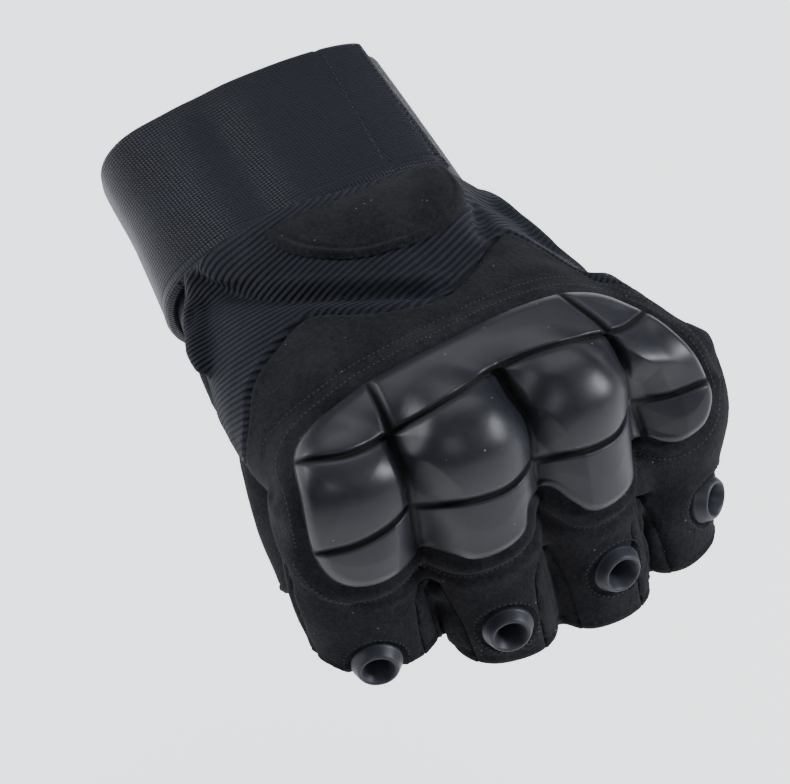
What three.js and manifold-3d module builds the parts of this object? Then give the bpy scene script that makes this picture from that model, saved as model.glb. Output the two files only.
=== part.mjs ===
import * as THREE from 'three';
import Module from 'manifold-3d';

// A left-hand fingerless glove in the shape that it takes on a clenched fist.
// Millimetres. The origin is the middle of the wrist, X runs out to the knuckles,
// Y to the little finger and Z up through the back of the hand.
const wall = 1.6;
const gap = 0.35;
const guardThickness = 4.2;
const patchThickness = 1.5;
const deg = Math.PI / 180;

const wasm = await Module();
wasm.setup();

// Closed solids from rings of points

function solidFrom(positions, triangles) {
  const at = (i) => positions[i];
  let volume = 0;
  for (const [a, b, c] of triangles) {
    volume += at(a).dot(new THREE.Vector3().crossVectors(at(b), at(c)));
  }
  const facing = volume > 0 ? triangles : triangles.map(([a, b, c]) => [a, c, b]);
  return new wasm.Manifold(new wasm.Mesh({
    numProp: 3,
    vertProperties: new Float32Array(positions.flatMap((p) => [p.x, p.y, p.z])),
    triVerts: new Uint32Array(facing.flat()),
  }));
}

function loft(rings) {
  const sides = rings[0].length;
  const positions = rings.flat();
  const triangles = [];
  for (let r = 0; r + 1 < rings.length; r++) {
    for (let s = 0; s < sides; s++) {
      const a = r * sides + s;
      const b = r * sides + ((s + 1) % sides);
      triangles.push([a, b, a + sides], [b, b + sides, a + sides]);
    }
  }
  for (const [first, turn] of [[0, 1], [(rings.length - 1) * sides, 0]]) {
    const middle = new THREE.Vector3();
    for (let s = 0; s < sides; s++) {
      middle.addScaledVector(positions[first + s], 1 / sides);
    }
    positions.push(middle);
    for (let s = 0; s < sides; s++) {
      const a = first + s;
      const b = first + ((s + 1) % sides);
      triangles.push(turn ? [b, a, positions.length - 1] : [a, b, positions.length - 1]);
    }
  }
  return solidFrom(positions, triangles);
}

// A straight bar through a flat outline: place(u, v, depth) puts a point of it in space.
function bar(outline, place, near, far) {
  const flat = outline.map(([u, v]) => new THREE.Vector2(u, v));
  if (THREE.ShapeUtils.isClockWise(flat)) {
    flat.reverse();
  }
  const faces = THREE.ShapeUtils.triangulateShape(flat, []);
  const n = flat.length;
  const positions = [near, far].flatMap((depth) => flat.map((p) => place(p.x, p.y, depth)));
  const triangles = faces.flatMap(([a, b, c]) => [[a, c, b], [a + n, b + n, c + n]]);
  for (let i = 0; i < n; i++) {
    const j = (i + 1) % n;
    triangles.push([i, j, i + n], [j, j + n, i + n]);
  }
  return solidFrom(positions, triangles);
}

// Rows of a table, with smooth ones added between them

function refine(rows, perSpan) {
  const keys = Object.keys(rows[0]);
  const pick = (i) => rows[Math.max(0, Math.min(rows.length - 1, i))];
  const fine = [];
  for (let i = 0; i + 1 < rows.length; i++) {
    for (let k = 0; k < perSpan; k++) {
      const t = k / perSpan;
      const row = {};
      for (const key of keys) {
        const [p0, p1, p2, p3] = [pick(i - 1)[key], pick(i)[key], pick(i + 1)[key], pick(i + 2)[key]];
        const m1 = (p2 - p0) / 2;
        const m2 = (p3 - p1) / 2;
        const t2 = t * t;
        const t3 = t2 * t;
        row[key] = (2 * t3 - 3 * t2 + 1) * p1 + (t3 - 2 * t2 + t) * m1
          + (3 * t2 - 2 * t3) * p2 + (t3 - t2) * m2;
      }
      fine.push(row);
    }
  }
  fine.push(rows[rows.length - 1]);
  return fine;
}

// A section of the hand lies between a dorsal and a palmar point. It is widest, half to either side
// of y, at the waist, a share of the way up. Roll turns it about the hand's length, yaw about Z.
function sectionRing(row, grow, sides) {
  const height = Math.hypot(row.dx - row.px, row.dz - row.pz);
  const lean = [(row.dx - row.px) / height, (row.dz - row.pz) / height];
  const yaw = row.yaw * deg;
  const up = new THREE.Vector3(lean[0] * Math.cos(yaw), lean[0] * Math.sin(yaw), lean[1]);
  const side = new THREE.Vector3(-Math.sin(yaw), Math.cos(yaw), 0);
  for (const axis of [up, side]) {
    axis.applyAxisAngle(new THREE.Vector3(1, 0, 0), row.roll * deg);
  }
  const middle = new THREE.Vector3(
    row.px + lean[0] * height * row.waist,
    row.y,
    row.pz + lean[1] * height * row.waist,
  );
  const power = 2 / row.square;
  const points = [];
  for (let i = 0; i < sides; i++) {
    const turn = (2 * Math.PI * (i + 0.5)) / sides;
    const [c, s] = [Math.cos(turn), Math.sin(turn)];
    const reach = height * (s > 0 ? 1 - row.waist : row.waist) + grow;
    const across = Math.sign(c) * Math.abs(c) ** power * (row.half + grow);
    const rise = Math.sign(s) * Math.abs(s) ** power * reach;
    points.push(middle.clone().addScaledVector(side, across).addScaledVector(up, rise));
  }
  return points;
}

// The wrist leans back from the hand: along runs down its axis to the hand, up to its back.
const wristTilt = 15 * deg;
const wristRoll = 5.3;
const wristWaist = -2.2;
const onWrist = (along, up) => [
  along * Math.cos(wristTilt) + up * Math.sin(wristTilt),
  up * Math.cos(wristTilt) - along * Math.sin(wristTilt),
];

function wristRow({ along, back, palm, half }, inset = 0) {
  const [dx, dz] = onWrist(along, back - inset);
  const [px, pz] = onWrist(along, inset - palm);
  const waist = (wristWaist + palm - inset) / (back + palm - 2 * inset);
  return { dx, dz, px, pz, y: 0, half: half - inset, square: 2.4, waist, roll: wristRoll, yaw: 0 };
}

// The outside of the strap at its two edges
const strapRows = [
  { along: -20.0, back: 13.4, palm: 26.0, half: 35.8 },
  { along: 22.7, back: 17.9, palm: 27.0, half: 38.6 },
];
const strapThick = 2.0;
const bandThick = 1.4;
const strapInset = strapThick + bandThick + 2 * gap;
const bandSides = 22;
const bandZoneDeep = 12;
const wristSlack = 0.5;

const across = { square: 2.2, waist: 0.5, yaw: 0 };
const bodyRows = [
  ...strapRows.map((row) => wristRow(row, strapInset + wristSlack)),
  { dx: 35, dz: 14.5, px: 24, pz: -28, y: -0.5, half: 34.5, roll: 3, ...across },
  { dx: 46, dz: 18.5, px: 39, pz: -28, y: -1.0, half: 37.8, roll: 1, ...across },
  { dx: 60, dz: 21.0, px: 55, pz: -26, y: -1.5, half: 40.8, roll: -1, ...across },
  { dx: 76, dz: 22.0, px: 74, pz: -21, y: -1.5, half: 44.0, roll: -2, ...across },
  { dx: 92, dz: 23.0, px: 92, pz: -14, y: -0.8, half: 46.0, roll: -2, ...across },
  { dx: 104, dz: 21.5, px: 105, pz: -8, y: -0.5, half: 44.7, roll: -2, ...across },
  { dx: 111, dz: 16.0, px: 110, pz: -2, y: 0.5, half: 40.0, roll: 0, ...across },
];

// Each finger bends down at its knuckle (kneeX, kneeZ) and runs down for drop. lean tips it forward
// and yaw turns its back outward, deep is its depth and half its width at the knuckle, tip at the
// middle joint, and vent says how far down its eyelet sits.
const fingers = [
  { name: 'index', y: -34.5, tipY: -31.3, kneeX: 105, kneeZ: 5.5, drop: 34, lean: 6, yaw: -17,
    deep: 14.5, half: 15.5, tip: 12.4, vent: 1.1 },
  { name: 'middle', y: -10.5, tipY: -5, kneeX: 109, kneeZ: 9, drop: 41, lean: 8, yaw: -12,
    deep: 15.0, half: 14.5, tip: 11.4, vent: 0.95 },
  { name: 'ring', y: 13.5, tipY: 18.3, kneeX: 106.5, kneeZ: 8, drop: 42, lean: 9, yaw: 5,
    deep: 14.5, half: 14.5, tip: 11.0, vent: 0.88 },
  { name: 'little', y: 38.0, tipY: 39.5, kneeX: 98, kneeZ: 2.0, drop: 37.0, lean: 15, yaw: 35,
    deep: 13.0, half: 15.3, tip: 10.3, vent: 0.86 },
];

// along is 0 at the knuckle and 1 at the middle joint. turn tips the section, front and back scale
// its depth either side of the bone, and wide runs from the knuckle's width to the tip's.
const kneeRows = [
  { along: -0.55, turn: 90, front: 0.75, back: 0.9, wide: 1.8, twist: 0 },
  { along: 0.0, turn: 88, front: 1.0, back: 0.9, wide: 1.0, twist: 0 },
  { along: 0.0, turn: 58, front: 1.02, back: 0.1, wide: 0.4, twist: 0 },
  { along: 0.0, turn: 27, front: 1.02, back: 0.1, wide: 0.1, twist: 0.2 },
  { along: 0.0, turn: -6, front: 0.97, back: 0.1, wide: 0.2, twist: 0.45 },
];
const stallRows = [
  { along: 0.0, turn: 2, front: 0.99, back: 0.5, wide: 0.2, twist: 0.45 },
  { along: 0.36, turn: 0, front: 0.94, back: 0.75, wide: 0.7, twist: 0.85 },
  { along: 0.74, turn: 0, front: 0.88, back: 0.85, wide: 1.0, twist: 1 },
  { along: 1.0, turn: -6, front: 0.83, back: 0.85, wide: 1.0, twist: 1 },
  { along: 1.25, turn: -15, front: 0.76, back: 0.78, wide: 0.95, twist: 1 },
];
const widestAt = 0.2;
const stallOverlap = 2.2;

function stallRow(finger, row) {
  const lean = finger.lean * deg;
  const run = row.along * finger.drop;
  const down = Math.max(run, 0);
  const share = Math.min(1, Math.max(0, row.along));
  const centreX = finger.kneeX + Math.min(run, 0) + Math.sin(lean) * down;
  const centreZ = finger.kneeZ - Math.cos(lean) * down;
  const tilt = (row.turn + finger.lean * Math.min(1, share * 4)) * deg;
  const front = row.front * finger.deep;
  const back = row.back * finger.deep;
  return {
    dx: centreX + Math.cos(tilt) * front,
    dz: centreZ + Math.sin(tilt) * front,
    px: centreX - Math.cos(tilt) * back,
    pz: centreZ - Math.sin(tilt) * back,
    y: finger.y + (finger.tipY - finger.y) * share,
    half: finger.half + (finger.tip - finger.half) * row.wide,
    square: 2.25,
    waist: (widestAt + row.back) / (row.front + row.back),
    roll: 0,
    yaw: finger.yaw * row.twist,
  };
}

const fingerRows = (finger, table = stallRows) => table.map((row) => stallRow(finger, row));

// Past an open end, an inner solid runs on so that it cuts the mouth clean.
function carryOn(rows, length) {
  const last = rows[rows.length - 1];
  const before = rows[rows.length - 2];
  const middle = (row) => [(row.dx + row.px) / 2, (row.dz + row.pz) / 2];
  const [ax, az] = middle(before);
  const [bx, bz] = middle(last);
  const step = length / Math.hypot(bx - ax, bz - az);
  const sx = (bx - ax) * step;
  const sz = (bz - az) * step;
  return [...rows, { ...last, dx: last.dx + sx, dz: last.dz + sz, px: last.px + sx, pz: last.pz + sz }];
}

// The stretch panel bunches into one broad fold behind the knuckles: long and high are the half
// sizes of its section, which is centred at x, z.
const backFold = [
  { y: -37, x: 30, z: 3.5, long: 3, high: 4 },
  { y: -31, x: 36, z: 6.5, long: 9, high: 6 },
  { y: -23, x: 44, z: 11.5, long: 15.5, high: 8.5 },
  { y: -14, x: 50, z: 15.0, long: 19, high: 9 },
  { y: 0, x: 55, z: 17.0, long: 20.5, high: 9 },
  { y: 12, x: 53, z: 16.0, long: 19, high: 9 },
  { y: 21, x: 47, z: 13.5, long: 15, high: 8 },
  { y: 28, x: 42, z: 8.5, long: 8, high: 5 },
  { y: 33, x: 40, z: 5.0, long: 4, high: 3 },
];

// Narrow folds, as rows of a centre and a radius along each
const narrowFolds = [
  [
    { x: 27, y: -33.0, z: -1.5, r: 1.5 },
    { x: 34, y: -35.5, z: 0.5, r: 3.0 },
    { x: 42, y: -38.5, z: 2.0, r: 3.2 },
    { x: 51, y: -42.0, z: 3.0, r: 2.6 },
    { x: 58, y: -43.5, z: 3.5, r: 1.5 },
  ],
  [
    { x: 26, y: -32.0, z: -11.0, r: 2.0 },
    { x: 36, y: -34.0, z: -10.0, r: 4.0 },
    { x: 48, y: -37.0, z: -9.0, r: 4.0 },
    { x: 60, y: -40.0, z: -8.0, r: 2.5 },
  ],
  [
    { x: 27, y: 30.0, z: 1.0, r: 1.5 },
    { x: 36, y: 33.0, z: 3.0, r: 3.4 },
    { x: 48, y: 35.5, z: 4.0, r: 3.2 },
    { x: 60, y: 38.0, z: 4.0, r: 2.6 },
    { x: 72, y: 40.5, z: 4.5, r: 1.8 },
  ],
];

const thumbRows = [
  { x: 40, y: -17, z: -12, r: 12.0 },
  { x: 51, y: -21, z: -20, r: 14.2 },
  { x: 62, y: -24.5, z: -29, r: 14.0 },
  { x: 73, y: -26.5, z: -38, r: 13.2 },
  { x: 81, y: -27, z: -45, r: 12.6 },
];

function foldSolid(grow, detail) {
  return loft(backFold.map((row) => {
    const points = [];
    for (let i = 0; i < detail.foldSides; i++) {
      const turn = (2 * Math.PI * i) / detail.foldSides;
      points.push(new THREE.Vector3(
        row.x + Math.cos(turn) * (row.long + grow),
        row.y,
        row.z + Math.sin(turn) * (row.high + grow),
      ));
    }
    return points;
  }));
}

// A round limb along a table of centres and radii
function limb(rows, grow, sides) {
  const centres = rows.map((row) => new THREE.Vector3(row.x, row.y, row.z));
  return loft(rows.map((row, i) => {
    const before = centres[Math.max(0, i - 1)];
    const after = centres[Math.min(rows.length - 1, i + 1)];
    const along = new THREE.Vector3().subVectors(after, before).normalize();
    const side = new THREE.Vector3(0, 0, 1).cross(along).normalize();
    const up = new THREE.Vector3().crossVectors(along, side);
    const points = [];
    for (let k = 0; k < sides; k++) {
      const turn = (2 * Math.PI * (k + 0.5)) / sides;
      points.push(centres[i].clone()
        .addScaledVector(side, Math.cos(turn) * (row.r + grow))
        .addScaledVector(up, Math.sin(turn) * (row.r + grow)));
    }
    return points;
  }));
}

// The outside is finer than the hollow, whose open ends run on past the outside's.
const outer = { bodySides: 20, fingerSides: 12, foldSides: 8, past: 0 };
const inner = { bodySides: 12, fingerSides: 8, foldSides: 6, past: 4 };
const moulded = { bodySides: 14, fingerSides: 10, foldSides: 6, past: 0 };

function fingerSolid(finger, grow, detail = outer) {
  const rows = carryOn(fingerRows(finger).reverse(), stallOverlap).reverse();
  const tube = detail.past > 0 ? carryOn(rows, detail.past) : rows;
  const [knuckle, stall] = [fingerRows(finger, kneeRows), tube].map(
    (each) => loft(each.map((row) => sectionRing(row, grow, detail.fingerSides))),
  );
  return knuckle.add(stall);
}

function handSolid(grow, detail = outer) {
  const body = detail.past > 0
    ? carryOn([...bodyRows].reverse(), detail.past).reverse()
    : bodyRows;
  let hand = loft(body.map((row) => sectionRing(row, grow, detail.bodySides)))
    .add(foldSolid(grow, detail));
  if (detail === outer) {
    for (const rows of narrowFolds) {
      hand = hand.add(limb(rows, grow, 6));
    }
  }
  for (const finger of fingers) {
    hand = hand.add(fingerSolid(finger, grow, detail));
  }
  return hand;
}

// Where the panels part. Bars through the hand: seen from above, from the side and from the front.
const fromAbove = (x, y, z) => new THREE.Vector3(x, y, z);
const fromSide = (x, z, y) => new THREE.Vector3(x, -y, z);
const fromFront = (y, z, x) => new THREE.Vector3(x, y, z);

// The seam between the stretch panel and the suede, x at each y
const backSeam = [
  { y: -60, x: 92 },
  { y: -47, x: 88 },
  { y: -41, x: 79 },
  { y: -35, x: 74.5 },
  { y: -24, x: 70 },
  { y: -16, x: 75.5 },
  { y: -9, x: 79.5 },
  { y: 0, x: 81 },
  { y: 6, x: 79 },
  { y: 14, x: 73.5 },
  { y: 20, x: 67 },
  { y: 26, x: 60.5 },
  { y: 30, x: 62.5 },
  { y: 33, x: 70 },
  { y: 36, x: 78 },
  { y: 40, x: 84 },
  { y: 60, x: 94 },
];

// The seam between the back and the palm, seen from the side
const sideSeam = [
  { x: -60, z: 14 },
  { x: 0, z: -2.5 },
  { x: 24, z: -8 },
  { x: 45, z: -6 },
  { x: 70, z: -3 },
  { x: 92, z: 0 },
  { x: 104, z: -1 },
  { x: 109, z: -12 },
  { x: 111, z: -40 },
  { x: 111, z: -80 },
];

// The strips between neighbouring fingers, one on each finger: topY and tipY are where they part.
const gussets = [
  { finger: 0, sides: ['index_outer_strip', 'middle_inner_strip'], topY: -22, tipY: -17.5 },
  { finger: 1, sides: ['middle_outer_strip', 'ring_inner_strip'], topY: 2.5, tipY: 6.5 },
  { finger: 2, sides: ['ring_outer_strip', 'little_inner_strip'], topY: 26.5, tipY: 30.5 },
];
const gussetTop = -17;
const gussetPart = 0.06;
const gussetFoot = -80;
const gussetFootAt = -46;
const gussetHalves = [
  { z: gussetTop, half: 1.0 },
  { z: gussetTop - 3, half: 2.8 },
  { z: gussetTop - 12, half: 4.2 },
  { z: gussetFoot, half: 5.4 },
];

// from and to are shares of the half width, grow is added on both sides.
function gussetBar(gusset, from, to, grow) {
  const lean = (gusset.tipY - gusset.topY) / (gussetFootAt - gussetTop);
  const edge = (share, extra) => gussetHalves.map(({ z, half }) => [
    gusset.topY + lean * (z - gussetTop) + half * share + extra,
    z + (z === gussetTop ? grow : 0),
  ]);
  return bar([...edge(from, -grow), ...edge(to, grow).reverse()], fromFront, 90, 150);
}

const group = new THREE.Group();

function addPiece(name, solid, colour, roughness) {
  const { vertProperties, triVerts, numProp } = solid.getMesh();
  const positions = new Float32Array((vertProperties.length / numProp) * 3);
  for (let i = 0; i < positions.length / 3; i++) {
    positions.set(vertProperties.subarray(i * numProp, i * numProp + 3), i * 3);
  }
  const geometry = new THREE.BufferGeometry();
  geometry.setAttribute('position', new THREE.BufferAttribute(positions, 3));
  geometry.setIndex(new THREE.BufferAttribute(new Uint32Array(triVerts), 1));
  geometry.computeVertexNormals();
  const mesh = new THREE.Mesh(geometry, new THREE.MeshStandardMaterial({ color: colour, roughness }));
  mesh.name = name;
  group.add(mesh);
}

const suede = 0x17181b;
const knit = 0x1a1d24;
const webbing = 0x2b2e38;
const rubber = 0x2c2e35;

const outside = handSolid(0);
const clearance = handSolid(gap);

// The strap lies round the cuff band, which lies round the wrist.
function wristBand(rows, inset, thick) {
  const long = rows.map((row, i) => ({ ...row, along: row.along + (i === 0 ? -2 : 2) }));
  return loft(rows.map((row) => sectionRing(wristRow(row, inset), 0, bandSides)))
    .subtract(loft(long.map((row) => sectionRing(wristRow(row, inset + thick), 0, bandSides))));
}

// The strap's end lies on the little finger's side, over the band that goes all the way round.
const strapEndY = 29;
const strapStartZ = -13;
const bandRows = strapRows.map((row, i) => ({ ...row, along: i === 0 ? -18.8 : 25.0 }));
const strapGap = bar(
  [[strapEndY, 60], [strapEndY, -4], [20, strapStartZ], [60, strapStartZ], [60, 60]],
  fromFront, -60, 60,
);
addPiece('wrist_strap', wristBand(strapRows, 0, strapThick).subtract(strapGap), webbing, 0.9);
addPiece('cuff_band', wristBand(bandRows, strapThick + gap, bandThick), webbing, 0.9);

// The oval patch lies on the stretch panel and ends under the strap.
const patchAt = { x: 44, y: 1, long: 22, wide: 22 };
const patchOutline = [];
const patchSides = 18;
for (let i = 0; i < patchSides; i++) {
  const turn = (2 * Math.PI * i) / patchSides;
  patchOutline.push([patchAt.x + Math.cos(turn) * patchAt.long, patchAt.y + Math.sin(turn) * patchAt.wide]);
}
const bandClear = bandRows.map((row, i) => ({ ...row, along: row.along + (i === 0 ? 0 : gap) }));
const underStrap = loft(bandClear.map((row) => sectionRing(wristRow(row, -3), 0, bandSides)));
addPiece('oval_patch', handSolid(gap + patchThickness).subtract(clearance)
  .intersect(bar(patchOutline, fromAbove, 2, 60)).subtract(underStrap), suede, 0.95);

// A rubber eyelet sits on the back of each finger, over a hole through the suede.
const ventProfile = [
  [1.9, -3.5], [1.9, 0.6], [3.8, 2.1], [4.5, 2.1], [5.6, 0.4], [5.6, -3.5],
];
const ventHoleRadius = 2.3;
const ventLift = 0.5;
const ventSides = 10;

function turned(profile, place) {
  const count = profile.length;
  const positions = [];
  const triangles = [];
  for (let i = 0; i < ventSides; i++) {
    const turn = (2 * Math.PI * i) / ventSides;
    for (const [r, h] of profile) {
      positions.push(new THREE.Vector3(Math.cos(turn) * r, Math.sin(turn) * r, h).applyMatrix4(place));
    }
  }
  for (let i = 0; i < ventSides; i++) {
    const next = (i + 1) % ventSides;
    for (let k = 0; k < count; k++) {
      const l = (k + 1) % count;
      const [a, b, c, d] = [i * count + k, i * count + l, next * count + l, next * count + k];
      triangles.push([a, b, c], [a, c, d]);
    }
  }
  return solidFrom(positions, triangles);
}

function ventPlace(finger) {
  const rows = refine(fingerRows(finger), 8);
  const drop = (row) => Math.abs((row.pz + row.dz) / 2 - (finger.kneeZ - finger.vent * finger.drop));
  const at = rows.reduce((best, row, i) => (drop(row) < drop(rows[best]) ? i : best), 0);
  const yaw = rows[at].yaw * deg;
  const faceAt = ({ dx, dz, px, pz, y }) => new THREE.Vector3(
    (dx + px) / 2 + ((dx - px) / 2) * Math.cos(yaw),
    y + ((dx - px) / 2) * Math.sin(yaw),
    dz,
  );
  const down = faceAt(rows[at + 4]).sub(faceAt(rows[at - 4]));
  const out = down.cross(new THREE.Vector3(-Math.sin(yaw), Math.cos(yaw), 0)).normalize();
  const turn = new THREE.Quaternion().setFromUnitVectors(new THREE.Vector3(0, 0, 1), out);
  const foot = faceAt(rows[at]).addScaledVector(out, ventLift);
  return new THREE.Matrix4().compose(foot, turn, new THREE.Vector3(1, 1, 1));
}

let ventHoles = null;
const ventHoleSides = 8;
for (const finger of fingers) {
  const place = ventPlace(finger);
  addPiece(`vent_${finger.name}`, turned(ventProfile, place).subtract(clearance), rubber, 0.5);
  const pin = [];
  for (let i = 0; i < ventHoleSides; i++) {
    const turn = (2 * Math.PI * i) / ventHoleSides;
    pin.push([Math.cos(turn) * ventHoleRadius, Math.sin(turn) * ventHoleRadius]);
  }
  const hole = bar(pin, (u, v, depth) => new THREE.Vector3(u, v, depth).applyMatrix4(place), -5, 5);
  ventHoles = ventHoles ? ventHoles.add(hole) : hole;
}

// Past its mouth, the hole of the thumb runs on in a straight line.
function carryLimb(rows, length) {
  const last = rows[rows.length - 1];
  const before = rows[rows.length - 2];
  const step = length / Math.hypot(last.x - before.x, last.y - before.y, last.z - before.z);
  return [...rows, {
    x: last.x + (last.x - before.x) * step,
    y: last.y + (last.y - before.y) * step,
    z: last.z + (last.z - before.z) * step,
    r: last.r,
  }];
}

const thumbHole = limb(carryLimb(thumbRows, 4), -wall, 12);
const bandZoneRows = bandRows.map((row, i) => ({ ...row, along: row.along + (i === 0 ? -gap : gap) }));
const bandZone = wristBand(bandZoneRows, strapInset - bandZoneDeep, bandZoneDeep);
const shell = outside.subtract(handSolid(-wall, inner))
  .subtract(thumbHole).subtract(ventHoles).subtract(bandZone);

const backLine = backSeam.map(({ y, x }) => [x, y]);
const behindSeam = bar([[-60, -60], ...backLine, [-60, 60]], fromAbove, -90, 60);
const beforeSeam = bar([...backLine.map(([x, y]) => [x + gap, y]), [160, 60], [160, -60]], fromAbove, -90, 60);
const sideLine = sideSeam.map(({ x, z }) => [x, z]);
const aboveSeam = bar(
  [...sideLine.map(([x, z]) => [x + gap * 0.7, z + gap * 0.8]), [170, -80], [170, 60], [-60, 60]],
  fromSide, -80, 80,
);
const belowSeam = bar([...sideLine, [-60, -80]], fromSide, -80, 80);

let suedeBack = shell.intersect(aboveSeam).intersect(beforeSeam);
let palm = shell.intersect(belowSeam);
const knitBack = shell.intersect(aboveSeam).intersect(behindSeam);
for (const gusset of gussets) {
  suedeBack = suedeBack.subtract(gussetBar(gusset, -1, 1, gap));
  palm = palm.subtract(gussetBar(gusset, -1, 1, gap));
  const bars = [gussetBar(gusset, -1, -gussetPart, 0), gussetBar(gusset, gussetPart, 1, 0)];
  const [near, far] = [gusset.finger, gusset.finger + 1];
  addPiece(gusset.sides[0], shell.intersect(bars[0])
    .intersect(fingerSolid(fingers[near], 0)).subtract(fingerSolid(fingers[far], gap)), suede, 0.95);
  addPiece(gusset.sides[1], shell.intersect(bars[1])
    .intersect(fingerSolid(fingers[far], 0)).subtract(fingerSolid(fingers[near], gap)), suede, 0.95);
}
addPiece('back_panel', suedeBack, suede, 0.95);
addPiece('knit_panel', knitBack, knit, 0.95);
addPiece('palm_panel', palm, suede, 0.95);
addPiece('thumb_panel', limb(thumbRows, 0, 14).subtract(thumbHole).subtract(clearance), suede, 0.95);

// The moulded guard: v runs down its face from the top edge, which is tilted to the knuckles.
const guardTilt = 42 * deg;
const guardTopX = 100;
const guardTopZ = 29.6;
const onGuard = (y, v, depth) => new THREE.Vector3(
  guardTopX + Math.sin(guardTilt) * v + Math.cos(guardTilt) * depth,
  y,
  guardTopZ - Math.cos(guardTilt) * v + Math.sin(guardTilt) * depth,
);

const guardOutline = [
  { y: -45.5, v: 25.8 }, { y: -44.4, v: 17.3 }, { y: -42.0, v: 11.9 }, { y: -37.3, v: 8.6 },
  { y: -30.4, v: 6.2 }, { y: -22.9, v: 4.0 }, { y: -14.0, v: 2.6 }, { y: -5.5, v: 1.6 },
  { y: 7.0, v: 0.3 }, { y: 16.0, v: 0.0 }, { y: 22.0, v: 0.2 }, { y: 26.9, v: 1.0 },
  { y: 32.4, v: 3.1 }, { y: 36.5, v: 6.2 }, { y: 39.9, v: 10.5 }, { y: 42.6, v: 15.8 },
  { y: 44.9, v: 20.8 }, { y: 46.7, v: 26.1 }, { y: 47.3, v: 31.0 }, { y: 44.4, v: 36.0 },
  { y: 39.0, v: 37.7 }, { y: 34.8, v: 36.3 }, { y: 31.4, v: 34.0 }, { y: 28.4, v: 34.0 },
  { y: 26.2, v: 36.4 }, { y: 25.0, v: 41.2 }, { y: 19.9, v: 44.0 }, { y: 13.9, v: 44.4 },
  { y: 9.4, v: 40.5 }, { y: 6.2, v: 36.6 }, { y: 3.6, v: 35.7 }, { y: -0.6, v: 38.0 },
  { y: -2.5, v: 42.8 }, { y: -7.8, v: 45.0 }, { y: -13.6, v: 44.9 }, { y: -18.0, v: 41.6 },
  { y: -21.4, v: 39.1 }, { y: -24.4, v: 40.2 }, { y: -29.9, v: 42.4 }, { y: -36.1, v: 42.5 },
  { y: -41.3, v: 39.5 }, { y: -44.3, v: 33.7 },
];

const grooves = [
  [{ y: -48, v: 13.4 }, { y: -34, v: 15.8 }, { y: -23.7, v: 15.0 }, { y: -12.4, v: 12.3 },
    { y: 2.6, v: 10.0 }, { y: 14.6, v: 9.7 }, { y: 27.9, v: 11.2 }, { y: 42, v: 9.0 }],
  [{ y: -48, v: 31.5 }, { y: -37.1, v: 33.4 }, { y: -29.5, v: 32.0 }, { y: -23.9, v: 29.2 }],
  [{ y: -23.9, v: 29.8 }, { y: -11, v: 33.0 }, { y: -4.6, v: 32.6 }, { y: 3.0, v: 29.0 }],
  [{ y: 3.2, v: 29.8 }, { y: 15.7, v: 31.6 }, { y: 22.2, v: 30.2 }, { y: 28.6, v: 24.4 }],
  [{ y: 29.2, v: 25.8 }, { y: 39.2, v: 27.6 }, { y: 50, v: 27.3 }],
  [{ y: -22.4, v: -2 }, { y: -22.9, v: 4 }, { y: -23.7, v: 15 }, { y: -23.9, v: 29 }, { y: -21.6, v: 42 }],
  [{ y: 2.6, v: 10.2 }, { y: 3.6, v: 19.7 }, { y: 2.8, v: 31 }, { y: 3.8, v: 40 }],
  [{ y: 23.4, v: -2 }, { y: 25.2, v: 3.5 }, { y: 27.9, v: 11.2 }, { y: 28.6, v: 20.7 }, { y: 31.6, v: 38 }],
];
const guardNear = -15;
const guardFar = 40;
const grooveHalf = 0.55;
const grooveDepth = 1.3;

function grooveBar(line) {
  const sides = [-1, 1].map((sign) => line.map((point, i) => {
    const a = line[Math.max(0, i - 1)];
    const b = line[Math.min(line.length - 1, i + 1)];
    const run = Math.hypot(b.y - a.y, b.v - a.v);
    return [
      point.y - (sign * grooveHalf * (b.v - a.v)) / run,
      point.v + (sign * grooveHalf * (b.y - a.y)) / run,
    ];
  }));
  return bar([...sides[0], ...sides[1].reverse()], onGuard, guardNear, guardFar);
}

const grooveBars = grooves.map(grooveBar).reduce((all, each) => all.add(each))
  .subtract(handSolid(guardThickness - grooveDepth, moulded));
const guard = handSolid(guardThickness, moulded).subtract(clearance)
  .intersect(bar(guardOutline.map(({ y, v }) => [y, v]), onGuard, guardNear, guardFar))
  .subtract(grooveBars);
addPiece('knuckle_guard', guard, rubber, 0.45);

export default group;
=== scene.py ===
import math

import bpy
import numpy as np
from mathutils import Matrix, Vector
from mathutils.bvhtree import BVHTree
from mathutils.kdtree import KDTree


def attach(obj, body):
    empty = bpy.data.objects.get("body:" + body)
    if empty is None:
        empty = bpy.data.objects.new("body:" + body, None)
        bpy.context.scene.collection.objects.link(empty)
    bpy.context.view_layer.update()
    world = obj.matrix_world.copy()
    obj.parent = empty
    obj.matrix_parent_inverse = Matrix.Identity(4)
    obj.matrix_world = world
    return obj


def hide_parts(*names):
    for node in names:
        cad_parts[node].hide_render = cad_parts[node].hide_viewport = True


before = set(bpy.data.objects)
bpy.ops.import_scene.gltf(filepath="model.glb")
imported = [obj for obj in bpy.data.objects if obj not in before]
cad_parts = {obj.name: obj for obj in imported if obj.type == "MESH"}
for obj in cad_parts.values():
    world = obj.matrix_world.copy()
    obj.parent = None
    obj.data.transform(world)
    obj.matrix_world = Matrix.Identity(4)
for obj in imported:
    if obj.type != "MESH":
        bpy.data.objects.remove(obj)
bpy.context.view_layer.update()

dice = np.random.RandomState(7)
deg = math.pi / 180

# The photograph's angle: its right, its up and the way back to the camera, with the camera's place in metres
view = {
    "right": (0.42655758, 0.90216526, -0.06439312), "up": (-0.58158292, 0.32811243, 0.74438132),
    "back": (0.69268315, -0.28007155, 0.66464275), "place": (0.56481, -0.20542, 0.46522), "lens": 152.12,
}

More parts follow.
